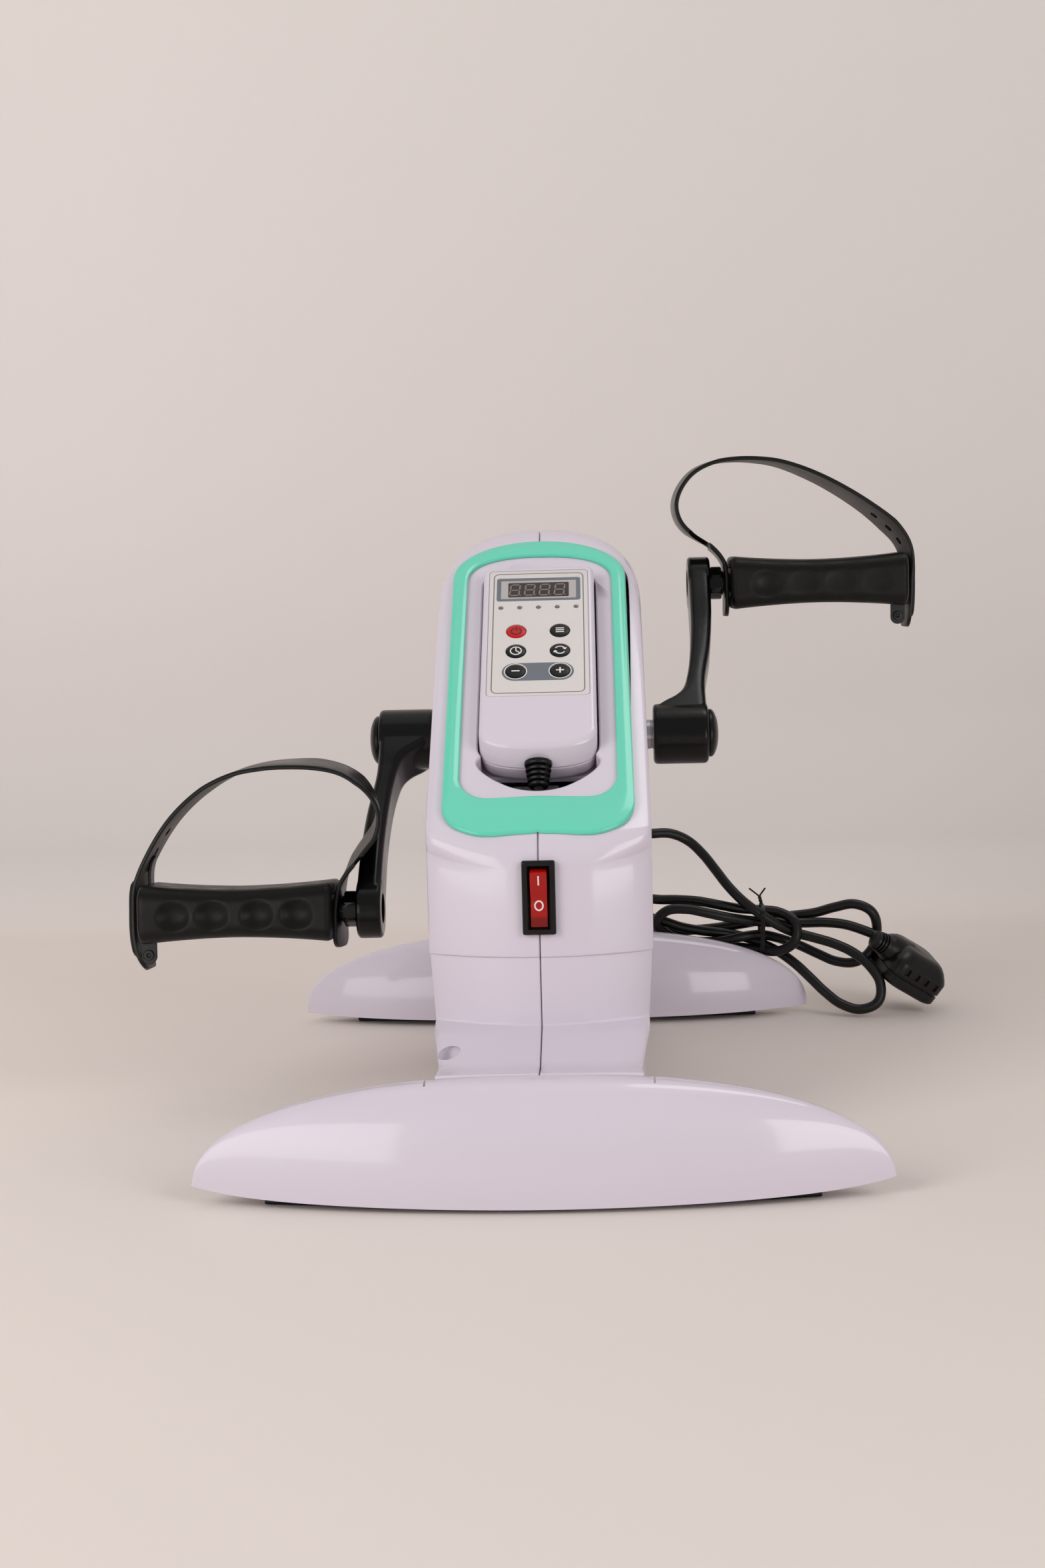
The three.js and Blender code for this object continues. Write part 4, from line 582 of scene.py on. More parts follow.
def catmull(P, n, closed=False):
    P = np.asarray(P, float)
    if closed:
        P = np.vstack([P[-1:], P, P[:2]])
    else:
        P = np.vstack([2 * P[0] - P[1], P, 2 * P[-1] - P[-2]])
    out = []
    for i in range(1, len(P) - 2):
        p0, p1, p2, p3 = P[i - 1:i + 3]
        t0 = 0.0
        t1 = t0 + max(np.linalg.norm(p1 - p0), 1e-9) ** 0.5
        t2 = t1 + max(np.linalg.norm(p2 - p1), 1e-9) ** 0.5
        t3 = t2 + max(np.linalg.norm(p3 - p2), 1e-9) ** 0.5
        for t in np.linspace(t1, t2, n, endpoint=False):
            a1 = (t1 - t) / (t1 - t0) * p0 + (t - t0) / (t1 - t0) * p1
            a2 = (t2 - t) / (t2 - t1) * p1 + (t - t1) / (t2 - t1) * p2
            a3 = (t3 - t) / (t3 - t2) * p2 + (t - t2) / (t3 - t2) * p3
            b1 = (t2 - t) / (t2 - t0) * a1 + (t - t0) / (t2 - t0) * a2
            b2 = (t3 - t) / (t3 - t1) * a2 + (t - t1) / (t3 - t1) * a3
            out.append((t2 - t) / (t2 - t1) * b1 + (t - t1) / (t2 - t1) * b2)
    if not closed:
        out.append(P[-2])
    return np.array(out)


def super_half(hw, b, p, n, y0, up=True):
    out = []
    for i in range(n + 1):
        a = math.pi * i / n
        c, s = math.cos(a), math.sin(a)
        out.append((hw * math.copysign(abs(c) ** (2 / p), c), y0 + b * s ** (2 / p)))
    return out if up else [(x, 2 * y0 - y) for x, y in reversed(out)]


def ring_outer(n):
    top = super_half(43.0, 28.3, 2.05, 120, -27.5)
    bot = arc(-43.2 + 19, -201.8 + 19, 19, 180, 270, 30) + [(x, -201.8) for x in np.linspace(-22, 22, 40)] + arc(43.2 - 19, -201.8 + 19, 19, 270, 360, 30)
    P = resample(top + bot, n)
    # two soft lobes at the lower edge and a small notch where the body's seam runs in
    x, s = P[:, 0], P[:, 1]
    w = np.clip((-195.2 - s) / 6, 0, 1)
    P[:, 1] = s + w * (0.7 - 1.0 * np.exp(-((np.abs(x) - 20) / 9.5) ** 2) + 0.8 * np.exp(-(x / 1.1) ** 2))
    return P


# ---------------------------------------------------------------- body shells
SY, SZ = con_yz(0, -1.8)
PY, PZ = con_yz(0, -8.8)
TAN = math.tan(SLOPE)
TOWER_MID = [(FRONT_Y, SEAM_Z, 1, 4), (FRONT_Y, SZ - (SY - FRONT_Y) * TAN, 22, 14),
             (SY + (CROWN_Z - SZ) / TAN, CROWN_Z, 25, 10), (BACK_Y, CROWN_Z, 30, 16), (BACK_Y, SEAM_Z, 1, 4)]
SIDE_F, SIDE_B, SIDE_T = -97.6, 88, CROWN_Z - 38
TOWER_SIDE = [(SIDE_F, SEAM_Z, 1, 4), (SIDE_F, PZ - (PY - SIDE_F) * TAN, 14, 14),
              (PY - (PZ - SIDE_T) / TAN, SIDE_T, 30, 10), (SIDE_B, SIDE_T, 28, 16), (SIDE_B, SEAM_Z, 1, 4)]
TOWER_SPLIT = {0: 10, 1: 26, 2: 6, 3: 20, 4: 2}
LEG_MID = [(-171.5, 21, 2, 3), (-171.5, 53.0, 1.0, 3), (-152, 51.0, 25, 8), (-116.3, 60.8, 1.0, 4), (-116.0, 98, 1, 2),
           (102.7, 98, 1, 2), (103.0, 60.8, 1.0, 4), (146, 51.0, 25, 8), (171.5, 53.0, 1.0, 3), (171.5, 21, 2, 3),
           (150, 21, 8, 3), (112, 32, 20, 3), (-112, 32, 20, 3), (-150, 21, 8, 3)]
LEG_SIDE = [(-170.5, 22.5, 2, 3), (-170.5, 51.4, 1.0, 3), (-146, 49.4, 25, 8), (-99.6, 61.4, 1.0, 4), (-99.3, 98, 1, 2),
            (86.0, 98, 1, 2), (86.3, 61.4, 1.0, 4), (140, 49.4, 25, 8), (170.5, 51.4, 1.0, 3), (170.5, 22.5, 2, 3),
            (150, 22.5, 8, 3), (112, 33.5, 20, 3), (-112, 33.5, 20, 3), (-150, 22.5, 8, 3)]
LEG_SPLIT = {1: 4, 2: 8, 3: 8, 5: 8, 6: 8, 7: 4, 10: 2, 11: 2}


def smooth(t):
    t = max(0.0, min(1.0, t))
    return t * t * (3 - 2 * t)


def tower_q(c):
    z, i, k = c[1], c[2], c[3]
    if i == 0:
        return 0.7, 8
    if i == 1:
        if k < 1 and z < 146:
            return 0.7 - 0.5 * k, 8
        return 0.2 * (1 - smooth((z - 235) / 45)), 8 - 5.6 * smooth((z - 215) / 66)
    if i == 2:
        return 0.0, 2.4
    if i == 3:
        return 0.5 * smooth((262 - z) / 90), 2.4 + 4 * smooth((264 - z) / 80)
    return 0.6, 7


def leg_q(c):
    return (0.8, 8) if 3 <= c[2] <= 6 else (0.2, 8)


SEAM = [(0.15, 1.1), (0.2, 0.72), (0.36, 0.4), (0.6, 0.14), (0.8, 0.03)]


def pillow_half(mid, side, split, hw, q, vs, sgn, seam=True, start=0.16):
    """Half of the bowed skin, from the seam plane to the flat side. Rings, seam first."""
    rings = []

    def ring(m, s, v, width):
        out = []
        for c, d in zip(m, s):
            b, p = q(c)
            g = b * v * v + (1 - b) * bulge(abs(v), p)
            w = float(width(c[1])) if callable(width) else width
            out.append((sgn * w * v, c[0] + (d[0] - c[0]) * g, c[1] + (d[1] - c[1]) * g))
        return out

    M, S = filleted(mid, split), filleted(side, split)
    nominal = 48.0
    if seam:
        for x, t in SEAM:
            rings.append(ring(filleted(inset(mid, t), split), filleted(inset(side, t), split), x / nominal, hw))
        rings.append(ring(M, S, 1.1 / nominal, hw))
    else:
        rings.append(ring(M, S, start / nominal, hw))
    for v in vs:
        if v > (1.2 if seam else start + 0.3) / nominal:
            rings.append(ring(M, S, v, hw))
    return rings


TOWER_VS = stations((8, 8, 2.4), HW, 24, 30)
LEG_VS = stations((8,), 46, 12, 20)
COARSE_VS = [0.4, 0.7, 0.85, 0.94, 0.98, 1.0]
SCREWS = {"front": (-82, 110), "rear": (88, 110), "top": (55, 240)}


def body_half(sgn):
    Vt, Ft, st = loft(pillow_half(TOWER_MID, TOWER_SIDE, TOWER_SPLIT, HW, tower_q, TOWER_VS, sgn))
    Vl, Fl, sl = loft(pillow_half(LEG_MID, LEG_SIDE, LEG_SPLIT, leg_hw, leg_q, LEG_VS, sgn))
    narrow = lambda y: 1 - 0.062 * np.clip((np.abs(y) - 118) / 34, 0, 1) ** 0.9
    Vl = np.array(Vl, float)
    Vl[:, 0] *= narrow(Vl[:, 1])
    skins = [Skin(Vt, Ft[:st]), Skin(Vl, Fl[:sl])]
    for s in skins:
        edge = np.abs(s.V[:, 0]) > (0.0503 - 1e-5)
        s.N[edge] = (sgn, 0, 0)
    coarse = dict(seam=False, start=-1.0)
    Vi, Fi, _ = loft(pillow_half(inset(TOWER_MID, WALL), inset(TOWER_SIDE, WALL), {0: 2, 1: 8, 2: 2, 3: 4}, HW - WALL, tower_q, COARSE_VS, sgn, **coarse))
    Vj, Fj, _ = loft(pillow_half(inset(LEG_MID, WALL), inset(LEG_SIDE, WALL), {}, lambda z: leg_hw(z) - WALL - 1.4, leg_q, COARSE_VS, sgn, **coarse))
    outer = csg(mesh("tower", Vt, Ft), ("UNION", mesh("leg", Vl, Fl)))
    inner = csg(mesh("tower_in", Vi, Fi), ("UNION", mesh("leg_in", Vj, Fj)))
    ops = [("DIFFERENCE", inner)]
    X = lambda a, b, y, z, r, n=32: cylinder("x", min(sgn * a, sgn * b), max(sgn * a, sgn * b), y, z, r, n)
    for y, z in SCREWS.values():
        ops.append(("UNION", X(0.3, 49.0, y, z, 5.6)))
    ops += [("DIFFERENCE", prism(round_rect(-38, 38, -181.8, -9, 15, 12), -13, 6)),
            ("DIFFERENCE", box_mesh(-6.4, 6.4, -125, -108, SWITCH_Z - 14.6, SWITCH_Z + 14.6)),
            ("DIFFERENCE", X(30, 60, CRANK_Y, CRANK_Z, 11.5, 64)),
            ("DIFFERENCE", box_mesh(-36.5, 36.5, -168.3, -146, 10, 28)),
            ("DIFFERENCE", box_mesh(-36.5, 36.5, 146, 168.3, 10, 28))]
    if sgn > 0:
        ops.append(("DIFFERENCE", cylinder("y", 95, 110, 12, 98, 6.0, 32)))
        for y, z in SCREWS.values():
            ops += [("DIFFERENCE", X(34, 60, y, z, 4.3)), ("DIFFERENCE", X(-1, 35, y, z, 1.9, 20))]
    else:
        for y, z in SCREWS.values():
            ops.append(("DIFFERENCE", X(-1, 14, y, z, 1.8, 20)))
        # screw pocket in the instep
        a = math.pi / 2 + 0.35
        rot = Matrix.Rotation(a, 4, "X")
        def tube(r, ln, c, n=40):
            V = [(r * math.cos(2 * math.pi * k / n), t, r * math.sin(2 * math.pi * k / n)) for t in (-ln / 2, ln / 2) for k in range(n)]
            V, F, _ = loft([V[:n], V[n:]])
            return mesh("pocket", apply(V, Matrix.Translation(c) @ rot), F)
        tilt = frame_to((-40.0, -138.0, 54.4), (-0.34, -0.78, 0.52))
        cup, hole = lathe([(-8.5, 6.9), (2.5, 6.9)], 40, tilt), lathe([(-6.3, 0.02), (-6.3, 3.2), (-5.6, 4.2), (-4.2, 4.6), (14, 4.6)], 48, tilt)
        wall = csg(mesh("cup", cup[0], cup[1]), ("INTERSECT", outer.copy()))
        pocket = mesh("hole", hole[0], hole[1])
        ops += [("UNION", wall), ("DIFFERENCE", pocket)]
    if sgn > 0:
        O = ring_outer(600)
        sel = O[(O[:, 0] > 20) & (O[:, 1] < -16) & (O[:, 1] > -122)]
        sel = sel[np.argsort(-sel[:, 1])]
        t = (sel[:, 1] - sel[0, 1]) / (sel[-1, 1] - sel[0, 1])
        wd = 1.75 * np.sin(math.pi * t ** 0.55) ** 0.8 * (1 - 0.35 * t)
        nn = np.stack([-np.gradient(sel[:, 1]), np.gradient(sel[:, 0])], 1)
        nn /= np.linalg.norm(nn, axis=1)[:, None]
        nn *= np.sign(nn[:, :1])
        outl = [tuple(p) for p in sel + nn * wd[:, None]] + [tuple(p) for p in (sel - nn * 0.9)[::-1]]
        if sum(outl[i - 1][0] * outl[i][1] - outl[i][0] * outl[i - 1][1] for i in range(len(outl))) < 0:
            outl = outl[::-1]
        ops.append(("DIFFERENCE", prism(outl, -9, 4)))
    res = csg(outer, *ops)
    return shade(res, 32, skins)


GROWN = {}


def grown_tower(t):
    """Whole tower grown by t, to cut pieces that lie on it."""
    halves = []
    for sgn in (1, -1):
        r = pillow_half(inset(TOWER_MID, -t), inset(TOWER_SIDE, -t), TOWER_SPLIT, HW + t, tower_q, TOWER_VS, sgn, seam=False, start=0.0)
        halves.append(r)
    rings = halves[1][:0:-1] + halves[0]
    V, F, _ = loft(rings)
    return mesh("grown", V, F)


put("body_left", body_half(-1), "base", "lilac_shell", replaces=("left_body_shell",))
put("body_right", body_half(1), "base", "lilac_shell", replaces=("right_body_shell",))


# ---------------------------------------------------------------- foot covers
def foot_rings(grow, edge, n_a, n_f, sgn, lim=88.6):
    rings = []
    for i in range(n_a + 1):
        u = -1 + 2 * i / n_a
        a = math.radians(lim) * (0.55 * u + 0.45 * math.sin(u * math.pi / 2))
        t = abs(math.sin(a))
        F = max(0.0, 1 - t ** 2.25) ** (1 / 2.25)
        x = (146.5 + grow) * math.sin(a)
        top = 6.5 + max(0.6, (45.8 + grow) * F)
        yc = 171 + 2.5 * t * t
        out = max(0.5, 193.5 + grow - 19.5 * t * t - yc)
        inn = max(0.5, yc - 151 + grow - 22.5 * t ** 3.4)
        lo_o = 2 + 2.5 * t * t + 3.5 * t ** 8 if edge is None else edge
        lo_i = (6.5 if sgn < 0 else 3.2) + 1.5 * t * t if edge is None else edge
        ring = []
        for k in range(n_f + 1):
            f = math.pi * k / n_f
            c, s = math.cos(f), math.sin(f)
            low = lo_o + (lo_i - lo_o) * smooth((0.12 - c) / 0.24)
            yy = (out if c > 0 else inn) * math.copysign(abs(c) ** 0.9, c)
            ring.append((x, sgn * (yc + yy), low + (top - low) * max(0.0, s) ** 0.9))
        rings.append(ring)
    return rings


def leg_gap(t=0.4):
    mid, side = inset(LEG_MID, -t), inset(LEG_SIDE, -t)
    halves = [pillow_half(mid, side, LEG_SPLIT, lambda z: leg_hw(z) + t, leg_q, COARSE_VS, sgn, seam=False, start=0.0) for sgn in (1, -1)]
    V, F, _ = loft(halves[1][:0:-1] + halves[0])
    return mesh("leg_gap", V, F)


def foot(sgn):
    V, F, s = loft(foot_rings(0, None, 132, 56, sgn))
    skin = Skin(V, F[:s])
    Vi, Fi, _ = loft(foot_rings(-2.9, -4, 44, 20, sgn))
    y0, y1 = (100, 160) if sgn > 0 else (-160, -100)
    ops = [("DIFFERENCE", mesh("foot_in", Vi, Fi)), ("DIFFERENCE", leg_gap()), ("DIFFERENCE", box_mesh(-46.6, 46.6, y0, y1, 20.1, 70))]
    for x in (-47.6, 47.6):
        a, b = sorted((sgn * 150, sgn * 176.5))
        ops.append(("DIFFERENCE", box_mesh(x - 0.4, x + 0.4, a, b, 40, 60)))
    res = csg(mesh("foot", V, F), *ops)
    return shade(res, 32, [skin])


put("front_foot", foot(-1), "base", "lilac_shell", replaces=("front_foot_cover",))
put("rear_foot", foot(1), "base", "lilac_shell", replaces=("rear_foot_cover",))


# ---------------------------------------------------------------- console ring
def ring_inner(n):
    top = super_half(35.7, 20, 2.5, 120, -31.3)
    bot = arc(-35.7 + 13, -179.4 + 13, 13, 180, 270, 30) + [(x, -179.4) for x in np.linspace(-22, 22, 30)] + arc(35.7 - 13, -179.4 + 13, 13, 270, 360, 30)
    P = resample(top + bot, 2000)
    # the lower inner edge bows down a little towards its corners
    w = np.clip((-172 - P[:, 1]) / 6, 0, 1)
    P[:, 1] += w * 0.9 * (np.exp(-(P[:, 0] / 14) ** 2) - 0.3)
    return P


def console_ring():
    n = 300
    O = ring_outer(n)
    I0 = ring_inner(n)
    # match each outer point with the inner point in the direction of the frame's centre line
    I = np.empty_like(O)
    k = 0
    ang = lambda P: np.unwrap(np.arctan2((P[:, 1] + 101) / 2.2, P[:, 0]))
    aO, aI = ang(O), ang(I0)
    aI = aI - aI[0]; aO = aO - aO[0]
    Q = np.vstack([I0, I0[:1]]); aQ = np.append(aI, 2 * math.pi)
    for c in range(2):
        I[:, c] = np.interp(aO, aQ, Q[:, c])
    prof = [(0.0, -9.5), (0.0, -1.7)]
    for f in np.linspace(12, 90, 7):
        prof.append((1.5 * (1 - math.cos(math.radians(f))) , -1.7 + 1.5 * math.sin(math.radians(f)) ))
    rings = []
    W = np.linalg.norm(I - O, axis=1)
    D = (I - O) / W[:, None]
    put_ring = lambda dist, h: rings.append(np.column_stack([O + D * dist[:, None], np.broadcast_to(h, W.shape)]))
    for d, h in prof:
        put_ring(np.full(n, d), h)
    for u in (0.12, 0.26, 0.4, 0.55, 0.7, 0.85, 1.0):
        d = 1.5 + (W - 1.5 - 1.3) * u
        put_ring(d, -0.2 + 0.55 * (1 - (1 - 2 * (u * 0.94 + 0.0)) ** 2))
    h_end = -0.2 + 0.55 * (1 - (1 - 2 * 0.94) ** 2)
    for f in np.linspace(15, 90, 7):
        c, s = math.cos(math.radians(f)), math.sin(math.radians(f))
        put_ring(W - 1.3 + 1.3 * s, h_end - 1.3 * (1 - c))
    put_ring(W, -9.5)
    V, F, s = loft(rings, caps=False, closed=True)
    V = con(V)
    if volume(V, F) < 0:
        F = [f[::-1] for f in F]
    skin = Skin(V, F[:-1 * n])
    res = csg(mesh("ring", V, F), ("DIFFERENCE", grown_tower(0.22)),
              ("DIFFERENCE", prism(round_rect(-38.3, 38.3, -182.1, -8.7, 15, 12), -14, -1.55)))
    return shade(res, 32, [skin])


put("ring_trim", console_ring(), "base", "mint_ring", replaces=("console_ring",))


# ---------------------------------------------------------------- console tray
def pocket_outline():
    right = [(28, -40), (28, -80), (28, -120), (28, -139), (27.95, -144), (27.6, -148.2), (27.05, -149.9), (26.5, -151.2), (26.5, -152.3),
             (27.25, -153.5), (28.1, -155.0), (28.1, -156.8), (26.9, -159.7), (23.8, -163.5), (18.4, -168), (10.4, -172.4), (0, -174.2)]
    left = [(-x, y) for x, y in right[:-1]][::-1]
    lower = catmull(right + left, 8)
    top = arc(-28 + 5, -27.0 - 5, 5, 180, 90, 10) + arc(28 - 5, -27.0 - 5, 5, 90, 0, 10)
    P = np.vstack([np.array(lower), np.array(top)])
    # counter-clockwise
    if sum(P[i - 1][0] * P[i][1] - P[i][0] * P[i - 1][1] for i in range(len(P))) < 0:
        P = P[::-1]
    return P


def tray():
    P = pocket_outline()
    plate_o = resample(round_rect(-37.65, 37.65, -181.45, -9.35, 14.7, 24), 240)
    Vp, Fp, sp = loft([[(x, y, h) for x, y in plate_o] for h in (-4.6, -1.8)])
    cup = arc(28 + 3.4 - 6, -27.0 + 2.2 - 6, 6, 0, 90, 8) + arc(-28 - 3.4 + 6, -27.0 + 2.2 - 6, 6, 90, 180, 8) + arc(0, -147, 31.4, 180, 360, 40)
    rings = [[(x, y, h) for x, y in offset(P, d)] for d, h in
             ((-0.6, -15.5), (-0.15, -15.2), (0, -14.6), (0, -3.0), (0.06, -2.55), (0.25, -2.15), (0.55, -1.88), (0.85, -1.79), (0.95, -1.2))]
    Vc, Fc, sc = loft(rings)
    Vc = con(Vc)
    skin = Skin(Vc, [f[::-1] for f in Fc[:sc]])
    res = csg(mesh("plate", con(Vp), Fp), ("UNION", prism(cup, -18, -3)), ("DIFFERENCE", mesh("pocket", Vc, Fc)),
              ("DIFFERENCE", prism([p for p in offset(P, -0.5) if p[1] < -153.5], -22, -9)))
    return shade(res, 32, [skin], cos=0.6)


put("tray_pocket", tray(), "base", "lilac_shell", replaces=("console_tray",))

# ---------------------------------------------------------------- handset
HS_HW, HS_TOP, HS_BOT = 27.2, -27.7, -158.0
BUTTONS = {"power_button": (-10.6, -76.2), "mode_button": (10.4, -76.2), "time_button": (-10.6, -90.4),
           "direction_button": (10.4, -90.4), "minus_button": (-10.6, -104.5), "plus_button": (10.4, -104.5)}
LABEL_X, LABEL_S0, LABEL_S1 = 24.1, -121.2, -31.3
DISP_X, DISP_S0, DISP_S1 = 14.8, -51.1, -40.2


def handset_outline(d, r=4.0, n=220):
    hw, top, bot = HS_HW - d, HS_TOP - d, HS_BOT + d
    r = max(r - d, 0.8)
    P = arc(hw - r, top - r, r, 0, 90, 12) + arc(-hw + r, top - r, r, 90, 180, 12) + super_half(hw, 13, 2.6, 90, bot + 13, up=False)
    return resample(P, n)


def handset_front():
    prof = [(0.55, -4.7), (0.12, -4.45), (0.0, -4.1), (0.0, 0.0), (0.0, 4.0)]
    for f in np.linspace(10, 90, 9):
        prof.append((2.5 * (1 - math.cos(math.radians(f))), 4.0 + 2.5 * math.sin(math.radians(f))))
    V, F, s = loft([[(x, y, h) for x, y in handset_outline(d)] for d, h in prof])
    V = np.array(V, float)
    lean = np.clip((-136 - V[:, 1]) / 20, 0, 1)
    V[:, 1] += 4.6 * lean * lean * (3 - 2 * lean) * np.clip((V[:, 2] + 4.7) / 11.2, 0, 1) ** 1.15
    V = con(V)
    skin = Skin(V, F[:s])
    flat = np.array([0, -math.sin(SLOPE), math.cos(SLOPE)])
    skin.N[-220:] = flat
    hollow = [(x, max(y, -149.0)) for x, y in handset_outline(2.2, 2, 120)]
    ops = [("DIFFERENCE", prism([p for i, p in enumerate(hollow) if p != hollow[i - 1]], -8, 3.4)),
           ("DIFFERENCE", prism(round_rect(-LABEL_X - 0.3, LABEL_X + 0.3, LABEL_S0 - 0.3, LABEL_S1 + 0.3, 2.2, 8), 5.9, 8)),
           ("DIFFERENCE", prism(round_rect(-DISP_X - 0.8, DISP_X + 0.8, DISP_S0 - 0.8, DISP_S1 + 0.8, 0.8, 3), 0, 8))]
    for x, y in BUTTONS.values():
        ops.append(("DIFFERENCE", prism(arc(x, y, 5.1, 0, 360 - 7.5, 47), 0, 8)))
    return shade(csg(mesh("front", V, F), *ops), 32, [skin])


def handset_back():
    prof = [(5.0, -14.5), (3.4, -14.35), (2.0, -13.7), (1.2, -12.6), (0.8, -11.0), (0.4, -8.0), (0.1, -5.6), (0.35, -5.15), (0.7, -5.0)]
    V, F, s = loft([[(x, y, h) for x, y in handset_outline(d)] for d, h in prof])
    V = con(V)
    skin = Skin(V, F[:s])
    return shade(csg(mesh("back", V, F), ("DIFFERENCE", prism(handset_outline(2.9, 2, 120), -12.3, 0))), 32, [skin])


put("handset_front", handset_front(), "handset", "lilac_shell", replaces=("handset_front_shell",))
put("handset_back", handset_back(), "handset", "lilac_shell", replaces=("handset_back_shell",))


def ribbon(path, width, h0, h1, closed=True):
    """Flat printed line of a given width along a path in the console plane; h1 may be a function of (x, s)."""
    P = np.asarray(path, float)
    if closed:
        T = np.roll(P, -1, 0) - np.roll(P, 1, 0)
    else:
        T = np.gradient(P, axis=0)
    N = np.stack([T[:, 1], -T[:, 0]], 1)
    N /= np.maximum(np.linalg.norm(N, axis=1), 1e-12)[:, None]
    A, B = P + N * width / 2, P - N * width / 2
    f = (lambda p: h1) if not callable(h1) else (lambda p: h1(p[0], p[1]))
    f0 = (lambda p: h0) if not callable(h0) else (lambda p: h0(p[0], p[1]))
    rings = []
    for a, b in zip(A, B):
        rings.append([(a[0], a[1], f0(a)), (a[0], a[1], f(a)), (b[0], b[1], f(b)), (b[0], b[1], f0(b))])
    V, F, s = loft(rings, caps=not closed, closed=closed)
    return V, F


def blob(outline, h0, h1):
    """Flat printed patch."""
    rings = [[(x, y, h) for x, y in outline] for h in (h0, h1)]
    V, F, _ = loft(rings)
    return V, F


def merge(parts):
    """parts: (V, F, material index)"""
    Vs, Fs, M, n = [], [], [], 0
    for V, F, k in parts:
        V = np.asarray(V, float)
        Vs.append(V)
        Fs += [tuple(i + n for i in f) for f in F]
        M += [k] * len(F)
        n += len(V)
    return np.vstack(Vs), Fs, M


def label():
    o = round_rect(-LABEL_X, LABEL_X, LABEL_S0, LABEL_S1, 2.0, 8)
    V, F, s = loft([[(x, y, h) for x, y in offset(o, -d)] for d, h in ((0, 5.95), (0, 6.36), (0.05, 6.44), (0.14, 6.48))])
    ops = [("DIFFERENCE", prism(round_rect(-DISP_X - 0.1, DISP_X + 0.1, DISP_S0 - 0.1, DISP_S1 + 0.1, 0.5, 3), 5, 8))]
    for x, y in BUTTONS.values():
        ops.append(("DIFFERENCE", prism(arc(x, y, 5.0, 0, 360 - 7.5, 47), 5, 8)))
    for x in (-18.3, -9.15, 0, 9.15, 18.3):
        ops.append(("DIFFERENCE", prism(arc(x, -58.9, 1.25, 0, 345, 23), 5, 8)))
    return shade(csg(mesh("label", con(V), F), *ops), 32)


put("label_plate", label(), "handset", "label_film", replaces=("handset_label",))


def label_print():
    top = 6.52
    parts = []
    parts.append((*ribbon(resample(round_rect(-21.9, 21.9, -119.3, -33.6, 2.6, 10), 200), 0.42, 6.4, top), 0))
    # display surround: grey-blue frame and silver bars, round the window
    outer = round_rect(-20.5, 20.5, -54.0, -36.9, 1.3, 6)
    inner = round_rect(-18.4, 18.4, -52.3, -38.9, 0.5, 6)
    V1 = [(x, y, h) for h in (6.4, top) for x, y in outer]
    V2 = [(x, y, h) for h in (6.4, top) for x, y in inner]
    n = len(outer)
    V = np.array(V1 + V2)
    F = []
    for i in range(n):
        j = (i + 1) % n
        F += [(i, j, n + j, n + i), (n + i, n + j, 3 * n + j, 3 * n + i), (3 * n + i, 3 * n + j, 2 * n + j, 2 * n + i), (2 * n + i, 2 * n + j, j, i)]
    parts.append((V, F, 1))
    for s in (-1, 1):
        a, b = sorted((s * 15.0, s * 18.35))
        parts.append((*blob([(a, -52.25), (b, -52.25), (b, -38.95), (a, -38.95)], 6.4, top - 0.01), 2))
    parts.append((*blob([(-14.95, -52.25), (14.95, -52.25), (14.95, -51.3), (-14.95, -51.3)], 6.4, top - 0.01), 2))
    parts.append((*blob([(-14.95, -40.0), (14.95, -40.0), (14.95, -38.95), (-14.95, -38.95)], 6.4, top - 0.01), 2))
    # speed capsule with round gaps for its two buttons
    cap = mesh("capsule", con(blob(arc(10.8, -104.9, 6.1, -90, 90, 24) + arc(-11.0, -104.9, 6.1, 90, 270, 24), 6.4, top)[0]),
               blob(arc(10.8, -104.9, 6.1, -90, 90, 24) + arc(-11.0, -104.9, 6.1, 90, 270, 24), 6.4, top)[1])
    for k in ("minus_button", "plus_button"):
        x, y = BUTTONS[k]
        cap = csg(cap, ("DIFFERENCE", prism(arc(x, y, 5.0, 0, 360 - 7.5, 47), 5, 8)))
        parts.append((*ribbon(arc(x, y, 5.22, 0, 355, 71), 0.4, 6.42, top + 0.02), 3))
    V, F, M = merge(parts)
    return mesh("print", con(V), F, M), cap


marks, capsule = label_print()
put("label_marks", shade(marks, 32), "handset", "label_film", mats=["print_dark", "print_grey", "print_silver", "print_white"])
put("label_capsule", shade(capsule, 32), "handset", "label_film", mats=["print_grey"])


